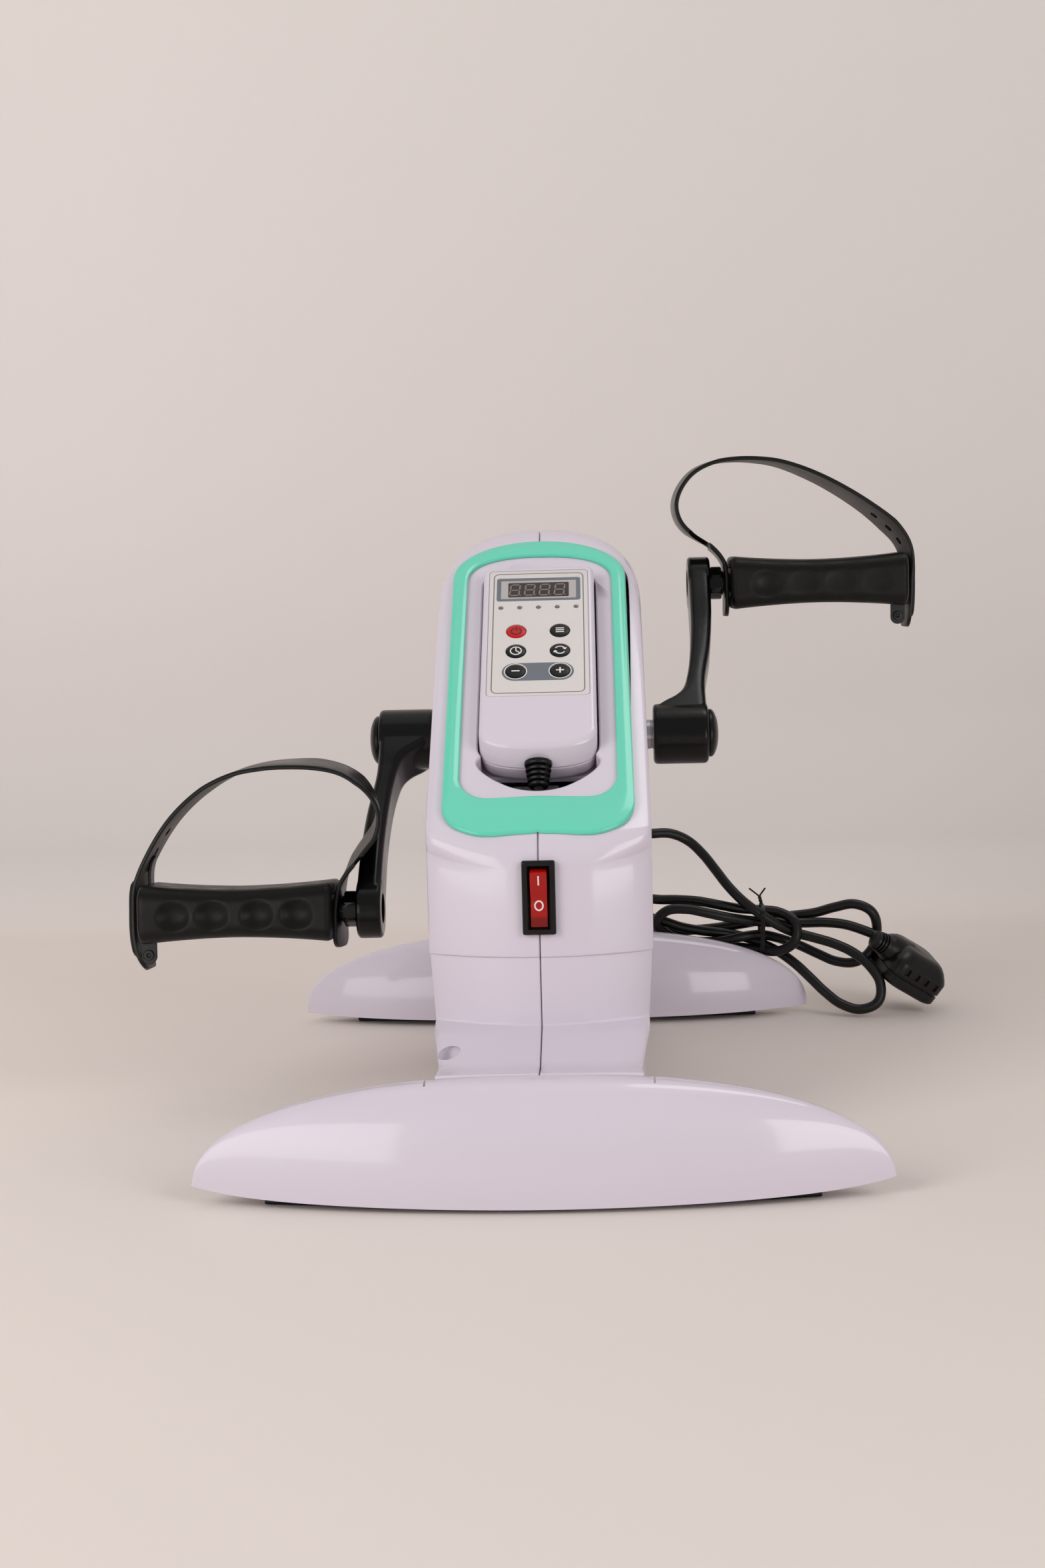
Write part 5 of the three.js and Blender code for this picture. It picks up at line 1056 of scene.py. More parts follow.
def display():
    o = round_rect(-DISP_X, DISP_X, DISP_S0, DISP_S1, 0.4, 3)
    V, F, _ = loft([[(x, y, h) for x, y in offset(o, -d)] for d, h in ((0, 2.3), (0, 6.2), (0.12, 6.33), (0.4, 6.36))])
    parts = [(V, F, 0)]
    hgt, wid, st, sl = 7.9, 4.5, 0.68, 0.10
    for cx in (-11.6, -4.3, 3.0, 10.3):
        cy = (DISP_S0 + DISP_S1) / 2
        def seg(x0, y0, x1, y1):
            d = np.array([x1 - x0, y1 - y0]); l = np.linalg.norm(d); d /= l
            n = np.array([-d[1], d[0]])
            a, b = np.array([x0, y0]) + d * 0.28, np.array([x1, y1]) - d * 0.28
            h = st / 2
            pts = [a, a + (d + n) * h, b + (n - d) * h, b, b - (d + n) * h, a + (d - n) * h]
            return [(cx + p[0] + sl * p[1], cy + p[1]) for p in pts]
        w, h = wid / 2, hgt / 2
        for q in ((-w, h, w, h), (-w, 0, w, 0), (-w, -h, w, -h), (-w, 0, -w, h), (w, 0, w, h), (-w, -h, -w, 0), (w, -h, w, 0)):
            parts.append((*blob(seg(*q), 6.3, 6.385), 1))
        parts.append((*blob(arc(cx + w + 0.75 - sl * h, cy - h + 0.1, 0.36, 0, 330, 11), 6.3, 6.385), 1))
    for x in (-18.3, -9.15, 0, 9.15, 18.3):
        V, F, _ = loft([[(x + r * math.cos(2 * math.pi * k / 24), -58.9 + r * math.sin(2 * math.pi * k / 24), h) for k in range(24)]
                        for r, h in ((1.2, 5.0), (1.2, 6.5), (1.1, 6.72), (0.8, 6.9), (0.35, 6.99), (0.02, 7.0))])
        parts.append((V, F, 2))
    V, F, M = merge(parts)
    return mesh("display", con(V), F, M)


put("display_unit", shade(display(), 32), "handset", "display_window", mats=["display_window", "display_segment", "led_lens"], replaces=("led_display",))


def button_top(x0, s0):
    prof = [(0.0, 6.86), (2.0, 6.83), (3.6, 6.72), (4.35, 6.55), (4.7, 6.3)]
    R, H = [p[0] for p in prof], [p[1] for p in prof]
    return lambda x, s, up=0.0: float(np.interp(math.hypot(x - x0, s - s0), R, H)) + up


def button_piece(name):
    x0, s0 = BUTTONS[name]
    n = 56
    prof = [(5.7, 2.5), (5.7, 3.4), (4.86, 3.5), (4.86, 6.0), (4.8, 6.2), (4.66, 6.36), (4.35, 6.55), (3.6, 6.72), (2.8, 6.79), (2.0, 6.83), (1.0, 6.85), (0.02, 6.86)]
    V, F, _ = loft([[(x0 + r * math.cos(2 * math.pi * k / n), s0 + r * math.sin(2 * math.pi * k / n), h) for k in range(n)] for r, h in prof])
    parts = [(V, F, 0)]
    top = button_top(x0, s0)
    up, dn = (lambda x, s: top(x, s, 0.07)), (lambda x, s: top(x, s, -0.1))
    R = lambda pts, w, closed=False: parts.append((*ribbon([(x0 + a, s0 + b) for a, b in pts], w, dn, up, closed), 1))
    line = lambda a, b, n=8: [(a[0] + (b[0] - a[0]) * i / n, a[1] + (b[1] - a[1]) * i / n) for i in range(n + 1)]
    if name == "power_button":
        R(arc(0, -0.15, 2.35, 122, 418, 48), 0.62)
        R(line((0, 0.2), (0, 3.0)), 0.62)
    elif name == "mode_button":
        for k in (-1, 0, 1):
            R(line((-2.0, 1.35 * k), (2.0, 1.35 * k), 12), 0.56)
    elif name == "time_button":
        R(arc(0, 0, 2.6, 0, 355, 60), 0.54, True)
        R(line((0, 0), (0, 2.2)), 0.52)
        R(line((0, 0), (1.75, -1.3)), 0.52)
    elif name == "direction_button":
        R(arc(0, 0, 2.5, 15, 150, 30), 0.54)
        R(arc(0, 0, 2.5, 195, 330, 30), 0.54)
        for a in (15, 195):
            c, s = math.cos(math.radians(a)), math.sin(math.radians(a))
            px, py = 2.5 * c, 2.5 * s
            tx, ty = s, -c
            R(line((px + tx * 0.2, py + ty * 0.2), (px - tx * 0.85 + c * 0.8, py - ty * 0.85 + s * 0.8), 5), 0.5)
            R(line((px + tx * 0.2, py + ty * 0.2), (px - tx * 0.85 - c * 0.8, py - ty * 0.85 - s * 0.8), 5), 0.5)
    else:
        R(line((-1.9, 0), (1.9, 0), 12), 0.66)
        if name == "plus_button":
            R(line((0, 0.25), (0, 1.9)), 0.66)
            R(line((0, -1.9), (0, -0.25)), 0.66)
    V, F, M = merge(parts)
    return mesh(name, con(V), F, M)


for bn in BUTTONS:
    red = bn == "power_button"
    put(bn + "_cap", shade(button_piece(bn), 35), bn, "red_button" if red else "button_grey",
        mats=["red_button", "print_black"] if red else ["button_grey", "print_white"], replaces=(bn,))

# ---------------------------------------------------------------- handset's strain relief and lead
def handset_relief():
    prof = [(-0.6, 6.5), (0.5, 6.5), (1.2, 6.3), (1.7, 5.7)]
    r = lambda a: 6.3 - 2.0 * (a / 11.5)
    a = 1.9
    for k in range(4):
        prof += [(a, r(a) - 1.7), (a + 0.75, r(a) - 1.75), (a + 0.95, r(a) - 0.15), (a + 1.15, r(a)), (a + 2.05, r(a + 1) - 0.05), (a + 2.25, r(a + 1) - 0.3)]
        a += 2.4
    prof += [(11.6, 3.3), (11.7, 2.4)]
    M = frame_to((0, -156.5, -3.4), (0, -1, -0.36))
    V, F, s = lathe(prof, 48, M)
    # two long bridges keep the ribs together
    parts = [(V, F, 0)]
    for w in (0.35, 1.35):
        for k in (0, 1):
            a0 = math.pi * (w + k)
            ring = []
            for t in np.linspace(1.5, 11.2, 12):
                rr = r(t) - 0.35
                c, sn = math.cos(a0), math.sin(a0)
                ring.append([(t, (rr + dr) * c - dt * sn, (rr + dr) * sn + dt * c) for dr, dt in ((0, -0.9), (0, 0.9), (-1.6, 0.9), (-1.6, -0.9))])
            Vb, Fb, _ = loft(ring)
            parts.append((apply(Vb, M), Fb, 0))
    V, F, M_ = merge(parts)
    return mesh("relief", con(V), F, M_)


put("relief_ribs", shade(handset_relief(), 40), "handset", "cord_pvc", replaces=("handset_strain_relief",))


def sweep(path, radius, n=16):
    """Round tube along a smooth path."""
    P = np.asarray(path, float)
    T = np.gradient(P, axis=0)
    T /= np.linalg.norm(T, axis=1)[:, None]
    ref = np.array([1.0, 0, 0]) if abs(T[0][0]) < 0.9 else np.array([0, 1.0, 0])
    u = np.cross(T[0], ref); u /= np.linalg.norm(u)
    rings = []
    for p, t in zip(P, T):
        u = u - t * (u @ t); u /= np.linalg.norm(u)
        v = np.cross(t, u)
        rings.append([p + radius * (math.cos(2 * math.pi * k / n) * u + math.sin(2 * math.pi * k / n) * v) for k in range(n)])
    return loft(rings)


REL_END = np.array([0, -156.5, -3.4]) + np.array([0, -1, -0.36]) / math.hypot(1, 0.36) * 11.9
V, F, _ = sweep(catmull([REL_END + np.array(d) for d in ((0, 0, 0), (0, -1.3, -0.5), (0, -2.2, -2.2), (0, -2.5, -6), (0, -2.5, -15), (0, -2.5, -27), (0, -2.5, -39))], 8), 2.3, 24)
put("handset_cable", shade(mesh("cable", con(V), F), 40), "handset", "cord_pvc", replaces=("handset_lead",))


# ---------------------------------------------------------------- crank arms, caps, shaft
def arm_rows(side, rows, grow=0.0, n=40):
    dy, dz = side * CRANK_DY, side * CRANK_DZ
    L = math.hypot(dy, dz)
    e, w = (dy / L, dz / L), (-dz / L, dy / L)
    rings = []
    for u, xi, xo, hw in rows:
        c = min(3.4, (xo - xi + 2 * grow) / 2.6)
        loop = round_rect(xi - grow, xo + grow, -hw - grow, hw + grow, c, 7)
        rings.append([(side * x, CRANK_Y + e[0] * u + w[0] * q, CRANK_Z + e[1] * u + w[1] * q) for x, q in loop])
    return loft(rings)


ARM_L = math.hypot(CRANK_DY, CRANK_DZ)
ARM_ROWS = [(0, 57, 83.4, 13.5), (8, 57.3, 83.4, 13.4), (12, 61.2, 83.4, 13.2), (15.5, 66.6, 83.4, 13.0), (20, 70.8, 83.4, 12.6), (25, 73.0, 83.6, 12.1),
            (30, 74.2, 84.0, 11.8), (38, 75.6, 85.2, 11.3), (50, 76.9, 87.3, 11.0), (68, 78, 89.0, 11.4), (86, 78.2, 89.7, 12.9), (ARM_L, 78.2, 89.8, 14.2)]


def turned_x(side, profile, y, z, n=56):
    V, F, s = lathe([(a, r) for a, r in profile], n)
    V = V.copy()
    V[:, 0] *= side
    V[:, 1] += y
    V[:, 2] += z
    if volume(V, F) < 0:
        F = [f[::-1] for f in F]
    return V, F, s


def crank_arm(side):
    rows = catmull(ARM_ROWS, 5)
    V, F, _ = arm_rows(side, rows)
    py, pz = CRANK_Y + side * CRANK_DY, CRANK_Z + side * CRANK_DZ
    hub = turned_x(side, [(56, 0.02), (56, 14.0), (56.7, 15.1), (57.8, 15.5), (82.2, 15.5), (83.3, 15.1), (84, 14.0), (84, 0.02)], CRANK_Y, CRANK_Z)
    eye = turned_x(side, [(78.0, 0.02), (78.0, 13.2), (78.9, 14.3), (89.0, 14.3), (90, 13.2), (90, 0.02)], py, pz)
    me = csg(mesh("arm", V, F), ("UNION", mesh("hub", hub[0], hub[1])), ("UNION", mesh("eye", eye[0], eye[1])))
    o = bpy.data.objects.new("work", me)
    scene.collection.objects.link(o)
    r = o.modifiers.new("r", "REMESH")
    r.mode, r.voxel_size = "VOXEL", 0.0006
    s = o.modifiers.new("s", "SMOOTH")
    s.factor, s.iterations = 0.5, 7
    me = bpy.data.meshes.new_from_object(o.evaluated_get(bpy.context.evaluated_depsgraph_get()))
    bpy.data.objects.remove(o)
    X = lambda a, b, rr, n, y=CRANK_Y, z=CRANK_Z: ("DIFFERENCE", cylinder("x", *sorted((side * a, side * b)), y, z, rr, n))
    me = csg(me, X(40, 73, 7.85, 48), X(72, 80, 4.4, 32), X(77, 95, 11.8, 64), X(70, 100, 7.3, 48, py, pz))
    return shade(me, 40)


for nm, side in (("left", -1), ("right", 1)):
    put("arm_" + nm, crank_arm(side), "crank", "crank_black", replaces=("crank_arm_" + nm,))
    prof = [(82.3, 0.02), (82.3, 11.2), (84.35, 11.2), (84.35, 12.0), (84.6, 12.25), (85.5, 12.25), (86.1, 11.95), (86.9, 11.1), (87.5, 10.0), (87.72, 9.5), (87.78, 9.2),
            (88.2, 8.3), (88.65, 6.6), (88.95, 4.6), (89.15, 2.4), (89.2, 0.02)]
    V, F, _ = turned_x(side, prof, CRANK_Y, CRANK_Z, 72)
    put("arm_cap_" + nm, shade(mesh("cap", V, F), 30), "crank", "black_plastic", replaces=("crank_cap_" + nm,))
    # spindle with a hexagon nut against the arm
    py, pz = CRANK_Y + side * CRANK_DY, CRANK_Z + side * CRANK_DZ
    V, F, _ = turned_x(side, [(79.5, 0.02), (79.5, 6.2), (80.3, 6.9), (90.3, 6.9), (90.3, 5.2), (96.4, 5.2), (96.4, 6.6), (97.1, 6.6), (97.3, 6.3), (97.3, 5), (185.5, 5), (186, 4.5), (186, 0.02)], py, pz, 40)
    parts = [(V, F, 0)]
    rings = []
    for x, cut_ in ((90.35, 0.55), (90.9, 0.0), (95.8, 0.0), (96.4, 0.55)):
        ring = []
        for k in range(60):
            a = 2 * math.pi * k / 60
            b = ((a + math.pi / 6) % (math.pi / 3)) - math.pi / 6
            r_hex = 7.75 / math.cos(b)
            rr = min(r_hex, 8.75 - cut_)
            a2 = a + math.radians(30)
            ring.append((side * x, py + rr * math.sin(a2), pz + rr * math.cos(a2)))
        rings.append(ring)
    V, F, _ = loft(rings)
    parts.append((V, F, 0))
    V, F, M = merge(parts)
    put("spindle_" + nm, shade(mesh("spindle", V, F, M), 30), "crank", "crank_black", replaces=("pedal_spindle_" + nm,))

V, F, _ = lathe([(-72, 0.02), (-72, 6.5), (-71, 7.5), (-55.6, 7.5), (-55.3, 7.2), (-54.9, 7.2), (-54.6, 7.5), (-51.6, 7.5), (-51.4, 7.25), (51.4, 7.25), (51.6, 7.5), (54.6, 7.5), (54.9, 7.2), (55.3, 7.2), (55.6, 7.5), (71, 7.5), (72, 6.5), (72, 0.02)], 56)
V = V + np.array([0, CRANK_Y, CRANK_Z])
me = csg(mesh("shaft", V, F), ("DIFFERENCE", cylinder("x", 56, 90, CRANK_Y, CRANK_Z, 4.0, 32)), ("DIFFERENCE", cylinder("x", -90, -56, CRANK_Y, CRANK_Z, 4.0, 32)))
put("main_shaft", shade(me, 30), "crank", "bright_steel", replaces=("crankshaft",))

# ---------------------------------------------------------------- pedals
TILT = {-1: math.radians(-5.5), 1: math.radians(0.5)}
GRIP_IN, GRIP_OUT = 100.6, 194.6


def pedal_matrix(side):
    return Matrix.Translation((0, CRANK_Y + side * CRANK_DY, CRANK_Z + side * CRANK_DZ)) @ Matrix.Rotation(TILT[side], 4, "X")


def grip(side):
    L = GRIP_OUT - GRIP_IN - (1.3 if side < 0 else 0.0)
    ends = [(0.0, 2.6), (0.25, 1.75), (0.7, 0.95), (1.3, 0.4), (2.1, 0.08)]
    xs = [e[0] for e in ends] + list(np.linspace(2.9, L - 2.9, 110)) + [L - e[0] for e in reversed(ends)]
    gs = [e[1] for e in ends] + [0.0] * 110 + [e[1] for e in reversed(ends)]
    rings = []
    for x, g in zip(xs, gs):
        f = x / L
        w = abs(2 * f - 1) ** 1.8
        hz, hy = 11.4 + 2.7 * w - g, 21.8 + 1.3 * w - g
        base = np.array(resample(round_rect(-hy, hy, -hz, hz, 7.0 - 0.35 * g, 12), 128))
        # crown the flat sides a little
        base[:, 1] *= 1 + 0.02 * (1 - (base[:, 0] / 23) ** 2)
        for c, depth in ((17.5, 2.9), (36.0, 2.9), (57.5, 3.0), (76.5, 3.0)) if side < 0 else ((18.5, 1.5), (38.0, 0.5), (57.5, 0.5), (77.0, 0.4)):
            dx = (x if side > 0 else L - x) - c
            front = base[:, 0] < -hy * 0.55
            r = np.sqrt((dx / 8.4) ** 2 + ((base[:, 1] + 0.8) / 7.6) ** 2)
            d = np.where(front & (r < 1), depth * (1 - np.clip(r, 0, 1) ** 2.4) ** 1.3, 0)
            base[:, 0] += d
        rings.append(np.column_stack([np.full(128, side * (GRIP_IN + x)), base]))
    V, F, _ = loft(rings)
    hole = box_mesh(*sorted((side * 90, side * 210)), -15.2, 15.2, -8.2, 8.2)
    me = csg(mesh("grip", V, F), ("DIFFERENCE", hole))
    me.transform(Matrix.Translation(pedal_matrix(side).translation * MM) @ pedal_matrix(side).to_3x3().to_4x4())
    return shade(me, 45)


STRAP = {
    -1: [(-191.5, -27), (-195.4, -18.5), (-196.8, -11), (-197, 2), (-196.2, 13), (-190.7, 26.5), (-178.8, 45), (-164, 58.6), (-148.8, 66.6), (-135.5, 69.7), (-121.5, 70.7), (-107, 70), (-95, 66.5), (-86.5, 60.3), (-81.2, 52.5), (-79.6, 45), (-81.8, 37), (-88.4, 28), (-94.2, 19.5), (-97.8, 11.5), (-98.9, 4), (-98.9, -9), (-98.6, -18)],
    1: [(195.6, -26), (196.9, -12), (197.1, 0), (196.9, 10), (194.6, 18.5), (189.5, 26), (178.5, 36), (162, 47.5), (145, 56.8), (128, 63.4), (116, 65.5), (104, 66), (93, 64.7), (81.5, 59.5), (74.2, 50.5), (71.8, 41.8), (74, 33.3), (80.3, 26.3), (89.3, 20.5), (94.8, 15.2), (98.0, 9.8), (98.9, 3), (98.9, -4), (98.9, -12), (98.6, -18)]}


def band(path, width, thick, r=0.8, tails=(7.0, 7.0), roll=None):
    """Flat strap along a path in the XZ plane, with rounded edges and ends; the face towards the loop gets the second
    material, a lighter copy of the strap PVC whose lighter colour is painted light.
    """
    P = np.asarray(path, float)
    d = np.concatenate([[0], np.cumsum(np.linalg.norm(np.diff(P, axis=0), axis=1))])
    total = d[-1]
    s = list(np.linspace(0, total, int(total / 1.5) + 2))
    fine = [0.05, 0.2, 0.5, 1.0, 1.7, 2.5, 3.5, 4.6, 5.8]
    s = sorted(set(s) | {x for x in fine if x < tails[0]} | {total - x for x in fine if x < tails[1]})
    s = np.array(s)
    Q = np.stack([np.interp(s, d, P[:, k]) for k in (0, 1)], 1)
    T = np.gradient(Q, s, axis=0)
    T /= np.linalg.norm(T, axis=1)[:, None]
    N = np.stack([-T[:, 1], T[:, 0]], 1)
    c = Q.mean(0)
    if (N * (c - Q)).sum() < 0:
        N = -N
    rings = []
    for q, n, x in zip(Q, N, s):
        k = 1.0
        for end, t in ((x, tails[0]), (total - x, tails[1])):
            if t and end < t:
                k = min(k, math.sqrt(max(0.0, 1 - (1 - end / t) ** 2)) * 0.62 + 0.38)
        hw, ht = width / 2 * k, thick / 2
        loop = round_rect(-hw, hw, -ht, ht, min(r, ht * 0.95), 4)
        loop = [(b, a) for b, a in loop]
        turn = math.tan(math.radians(float(np.interp(x, *roll)))) if roll else 0.0
        rings.append([(q[0] + n[0] * (a - turn * b), b, q[1] + n[1] * (a - turn * b)) for b, a in loop])
    V, F, sides = loft(rings)
    m = len(rings[0])
    idx = []
    V = np.asarray(V)
    # faces whose middle lies on the inner side of the strap take the lighter material, painted light
    for f in F:
        if len(f) != 4:
            idx.append(0); continue
        i = f[0] // m
        mid = V[list(f)].mean(0)
        a = (mid[0] - Q[min(i, len(Q) - 1)][0]) * N[min(i, len(Q) - 1)][0] + (mid[2] - Q[min(i, len(Q) - 1)][1]) * N[min(i, len(Q) - 1)][1]
        turn = math.tan(math.radians(float(np.interp(s[min(i, len(Q) - 1)], *roll)))) if roll else 0.0
        idx.append(1 if a + turn * mid[1] > thick / 2 - 0.2 else 0)
    return V, F, idx


# how far each strap is twisted along its length: (length from the outer end, degrees)
ROLL = {-1: ([0, 100, 127, 155, 178, 192, 208, 222, 236, 250, 263], [0, 0, 6, 9, 6, -4, -13, -11, 0, 5, 7]),
        1: ([0, 26, 42, 58, 72, 90, 110, 135, 150, 174, 204, 225, 240, 266], [0, -2, -8, -13, -10, -8, -6, -2, 0, 3, 3, 2, 0, 0])}


def place_pedal(me, side):
    M = pedal_matrix(side)
    me.transform(Matrix.Translation(M.translation * MM) @ M.to_3x3().to_4x4())
    return me


def strap(side):
    path = catmull(STRAP[side], 10)
    V, F, idx = band(path, 25.0, 2.2, roll=ROLL[side])
    me = mesh("strap", V, F, idx)
    me.materials.append(MAT["strap_pvc"])
    # second slot: the lighter inner face, painted light
    me.materials.append(MAT["strap_inner_painted_light"])
    C = lambda a, b, y, z, r, n=32: ("DIFFERENCE", cylinder("x", *sorted((side * a, side * b)), y, z, r, n))
    ops = [C(190, 204, 0, 0, 3.1), C(92, 100.4, 0, 0, 5.7)]
    # adjustment holes above the stud, square to the strap
    seg = np.cumsum(np.concatenate([[0], np.linalg.norm(np.diff(path, axis=0), axis=1)]))
    for s0 in (47, 56.5, 66) if side > 0 else (50, 59.5, 69):
        k = int(np.searchsorted(seg, s0))
        p, t = path[k], path[k + 1] - path[k]
        n = np.array([-t[1], 0, t[0]]); n /= np.linalg.norm(n)
        Vh, Fh, _ = lathe([(-4, 2.3), (4, 2.3)], 28, frame_to((p[0], 0, p[1]), n))
        ops.append(("DIFFERENCE", mesh("hole", Vh, Fh)))
    me = csg(me, *ops)
    me = place_pedal(me, side)
    py, pz = CRANK_Y + side * CRANK_DY, CRANK_Z + side * CRANK_DZ
    Va, Fa, _ = arm_rows(side, catmull(ARM_ROWS, 3), 0.5)
    for q in range(4):
        R = Matrix.Translation((0, py, pz)) @ Matrix.Rotation(q * math.pi / 2, 4, "X") @ Matrix.Translation((0, -py, -pz))
        me = csg(me, ("DIFFERENCE", mesh("bar", apply(Va, R), Fa)))
    return shade(me, 40)


def strap_end(side):
    """Overlapping end of the strap on its outer side, the tongue on the grip's end and the tab below it."""
    path = catmull(STRAP[side], 10)
    T = np.gradient(path, axis=0); T /= np.linalg.norm(T, axis=1)[:, None]
    N = np.stack([-T[:, 1], T[:, 0]], 1)
    if (N * (path.mean(0) - path)).sum() > 0:
        N = -N
    top = 16.0 if side < 0 else 14.0
    sel = [i for i in range(len(path)) if abs(path[i][0]) > 185 and path[i][1] < top and path[i][1] > -21]
    outer = path[sel] + N[sel] * 1.75
    V1, F1, _ = band(outer, 22.0, 1.2, 0.5, (4, 3))
    parts = [(V1, F1, 0)]
    s = side
    if s < 0:
        tongue = catmull([(-190.6, 9), (-190.7, 13), (-190.7, 16.5), (-190.5, 20), (-189.7, 24.0), (-188.3, 27.6)], 8)
        V2, F2, _ = band(tongue, 9.0, 1.5, 0.6, (0, 4))
        parts.append((V2, F2, 0))
    # tab below the grip: a rounded plate with a round knob
    hull = round_rect(-3.7, 3.7, -11.6, 3, 3.6, 10)
    rings = [[(s * 190.0 + x * k, -9.2 - d, -12.5 + z * k2) for x, z in hull] for d, k, k2 in ((0, 0.94, 0.97), (0.25, 1, 1), (1.9, 1, 1), (2.2, 0.94, 0.97))]
    V3, F3, _ = loft(rings)
    parts.append((V3, F3, 0))
    V4, F4, _ = lathe([(0, 2.6), (0.7, 2.6), (1.0, 2.3), (1.05, 1.2), (0.8, 0.9), (0.75, 0.02)], 32, frame_to((s * 190.0, -11.3, -19.6), (0, -1, 0)))
    parts.append((V4, F4, 0))
    # stud head on the strap
    V5, F5, _ = lathe([(-1.6, 4.5), (0.8, 4.5), (1.5, 4.1), (1.95, 3.1), (2.1, 1.6), (2.15, 0.02)], 40, frame_to((s * 198.3, 0, 0), (s, 0, 0)))
    parts.append((V5, F5, 0))
    V, F, M = merge(parts)
    return shade(place_pedal(mesh("strap_end", V, F, M), side), 40)


def core(side):
    s = side
    X = lambda a, b, y0, y1, z0, z1: box_mesh(*sorted((s * a, s * b)), y0, y1, z0, z1)
    rings = []
    for x, k in ((GRIP_IN + 0.4, 0.6), (GRIP_IN + 1.0, 0.0), (GRIP_OUT - 0.8, 0.0), (GRIP_OUT - 0.2, 0.6)):
        rings.append([(s * x, a, b) for a, b in round_rect(-14.9 + k, 14.9 - k, -7.9 + k, 7.9 - k, 1.6, 5)])
    V, F, _ = loft(rings)
    me = csg(mesh("core", V, F), ("DIFFERENCE", cylinder("x", *sorted((s * 90, s * 188)), 0, 0, 5.4, 40)),
             ("UNION", cylinder("x", *sorted((s * (GRIP_OUT - 1), s * 198.6)), 0, 0, 2.6, 32)))
    return shade(place_pedal(me, side), 35)


for nm, side in (("left", -1), ("right", 1)):
    body = "pedal_" + nm
    g = put("grip_foam_" + nm, grip(side), body, "foam", replaces=("pedal_grip_" + nm,))
    put("strap_band_" + nm, strap(side), body, "strap_pvc", mats=["strap_pvc", "strap_inner_painted_light"], replaces=("pedal_strap_" + nm,))
    put("strap_end_" + nm, strap_end(side), body, "strap_pvc", mats=["strap_pvc"])
    put("core_block_" + nm, core(side), body, "black_plastic", replaces=("pedal_core_" + nm,))


# ---------------------------------------------------------------- switch
def bezel():
    z = SWITCH_Z
    o = lambda w, h, r, y: [(x, y, z + b) for x, b in round_rect(-w, w, -h, h, r, 6)]
    V, F, _ = loft([o(7.35, 16.4, 0.9, -116.95), o(7.35, 16.4, 0.9, -118.2), o(7.25, 16.3, 0.9, -118.55), o(6.95, 16.0, 0.8, -118.75),
                    o(5.4, 14.6, 0.6, -118.75)])
    me = mesh("bezel", V, F)
    V2, F2, _ = loft([o(5.05, 14.25, 0.5, -119.2), o(4.95, 14.15, 0.5, -118.7), o(4.35, 13.6, 0.4, -117.6), o(4.1, 13.5, 0.4, -117.2), o(4.1, 13.5, 0.4, -106)])
    ops = [("UNION", box_mesh(-6.0, 6.0, -117.4, -94, z - 14.2, z + 14.2)), ("DIFFERENCE", mesh("mouth", V2, F2))]
    for dz in (-9, 0, 9):
        ops.append(("UNION", box_mesh(-2.4, 2.4, -94.5, -87.5, z + dz - 0.5, z + dz + 0.5)))
    return shade(csg(me, *ops), 30)


put("switch_frame", bezel(), "base", "black_plastic", replaces=("switch_bezel",))


def rocker():
    y0, tilt = -113.8, math.radians(9)
    c, s = math.cos(tilt), math.sin(tilt)
    face = catmull([(-5.5, 12.4), (-5.25, 9.5), (-4.7, 5.0), (-4.15, 1.6), (-4.0, 0), (-4.15, -1.6), (-4.7, -5.0), (-5.25, -9.5), (-5.5, -12.4)], 4)
    P = [tuple(p) for p in face] + [(-4.9, -12.65), (0.4, -12.6), (4.2, -5), (4.2, 5), (0.4, 12.6), (-4.9, 12.65)]
    turn = lambda y, z: (y0 + y * c - z * s, SWITCH_Z + y * s + z * c)
    rings = []
    cy = -1.0
    for x, k in ((-3.7, 0.35), (-3.6, 0.12), (-3.4, 0.0), (3.4, 0.0), (3.6, 0.12), (3.7, 0.35)):
        ring = []
        for y, z in P:
            l = math.hypot(y - cy, z)
            ring.append((x, *turn(y - (y - cy) / l * k, z - z / l * k)))
        rings.append(ring)
    V, F, _ = loft(rings)
    parts = [(V, F, 0)]
    fy = lambda z: float(np.interp(z, [p[1] for p in face][::-1], [p[0] for p in face][::-1]))

    def mark(path, closed):
        V, F = ribbon(path, 0.62, 0.0, 1.0, closed)
        out = []
        for x, z, h in V:
            out.append((x, *turn(fy(z) - (0.07 if h > 0.5 else -0.08), z)))
        V = np.array(out)
        if volume(V, F) < 0:
            F = [f[::-1] for f in F]
        parts.append((V, F, 1))

    mark([(0, 6.6 + 4.4 * i / 8) for i in range(9)], False)
    mark([(1.75 * math.cos(a), -2.9 + 2.0 * math.sin(a)) for a in np.linspace(0, 2 * math.pi, 41)[:-1]], True)
    V, F, M = merge(parts)
    return shade(mesh("rocker", V, F, M), 35)


put("rocker_key", rocker(), "rocker", "rocker_red", mats=["rocker_red", "print_white"], replaces=("switch_rocker",))


# ---------------------------------------------------------------- pads, gland, plug, tie
def pad(sx, sy):
    P = filleted([(61, 167, 3, 6), (117, 169, 2.5, 6), (117, 176, 2.5, 6), (61, 183.5, 4, 6)], {0: 4, 1: 2, 2: 4, 3: 3})
    O = np.array([(p[0], p[1]) for p in P])
    if sum(O[i - 1][0] * O[i][1] - O[i][0] * O[i - 1][1] for i in range(len(O))) < 0:
        O = O[::-1]
    rings = []
    prof = [(-1.1, 0.0), (-0.5, 0.15), (-0.3, 0.5)]
    for k in range(4):
        z = 0.75 + k * 1.35
        prof += [(-1.0, z), (-1.0, z + 0.35), (-0.35, z + 0.5), (-0.3, z + 1.1)]
    prof += [(-0.4, 6.2), (-0.8, 6.3)]
    for d, z in prof:
        rings.append([(sx * a, sy * b, min(z, 6.3)) for a, b in offset(O, d - 0.7 if sy < 0 else d)])
    V, F, _ = loft(rings)
    return shade(mesh("pad", V, F), 30)


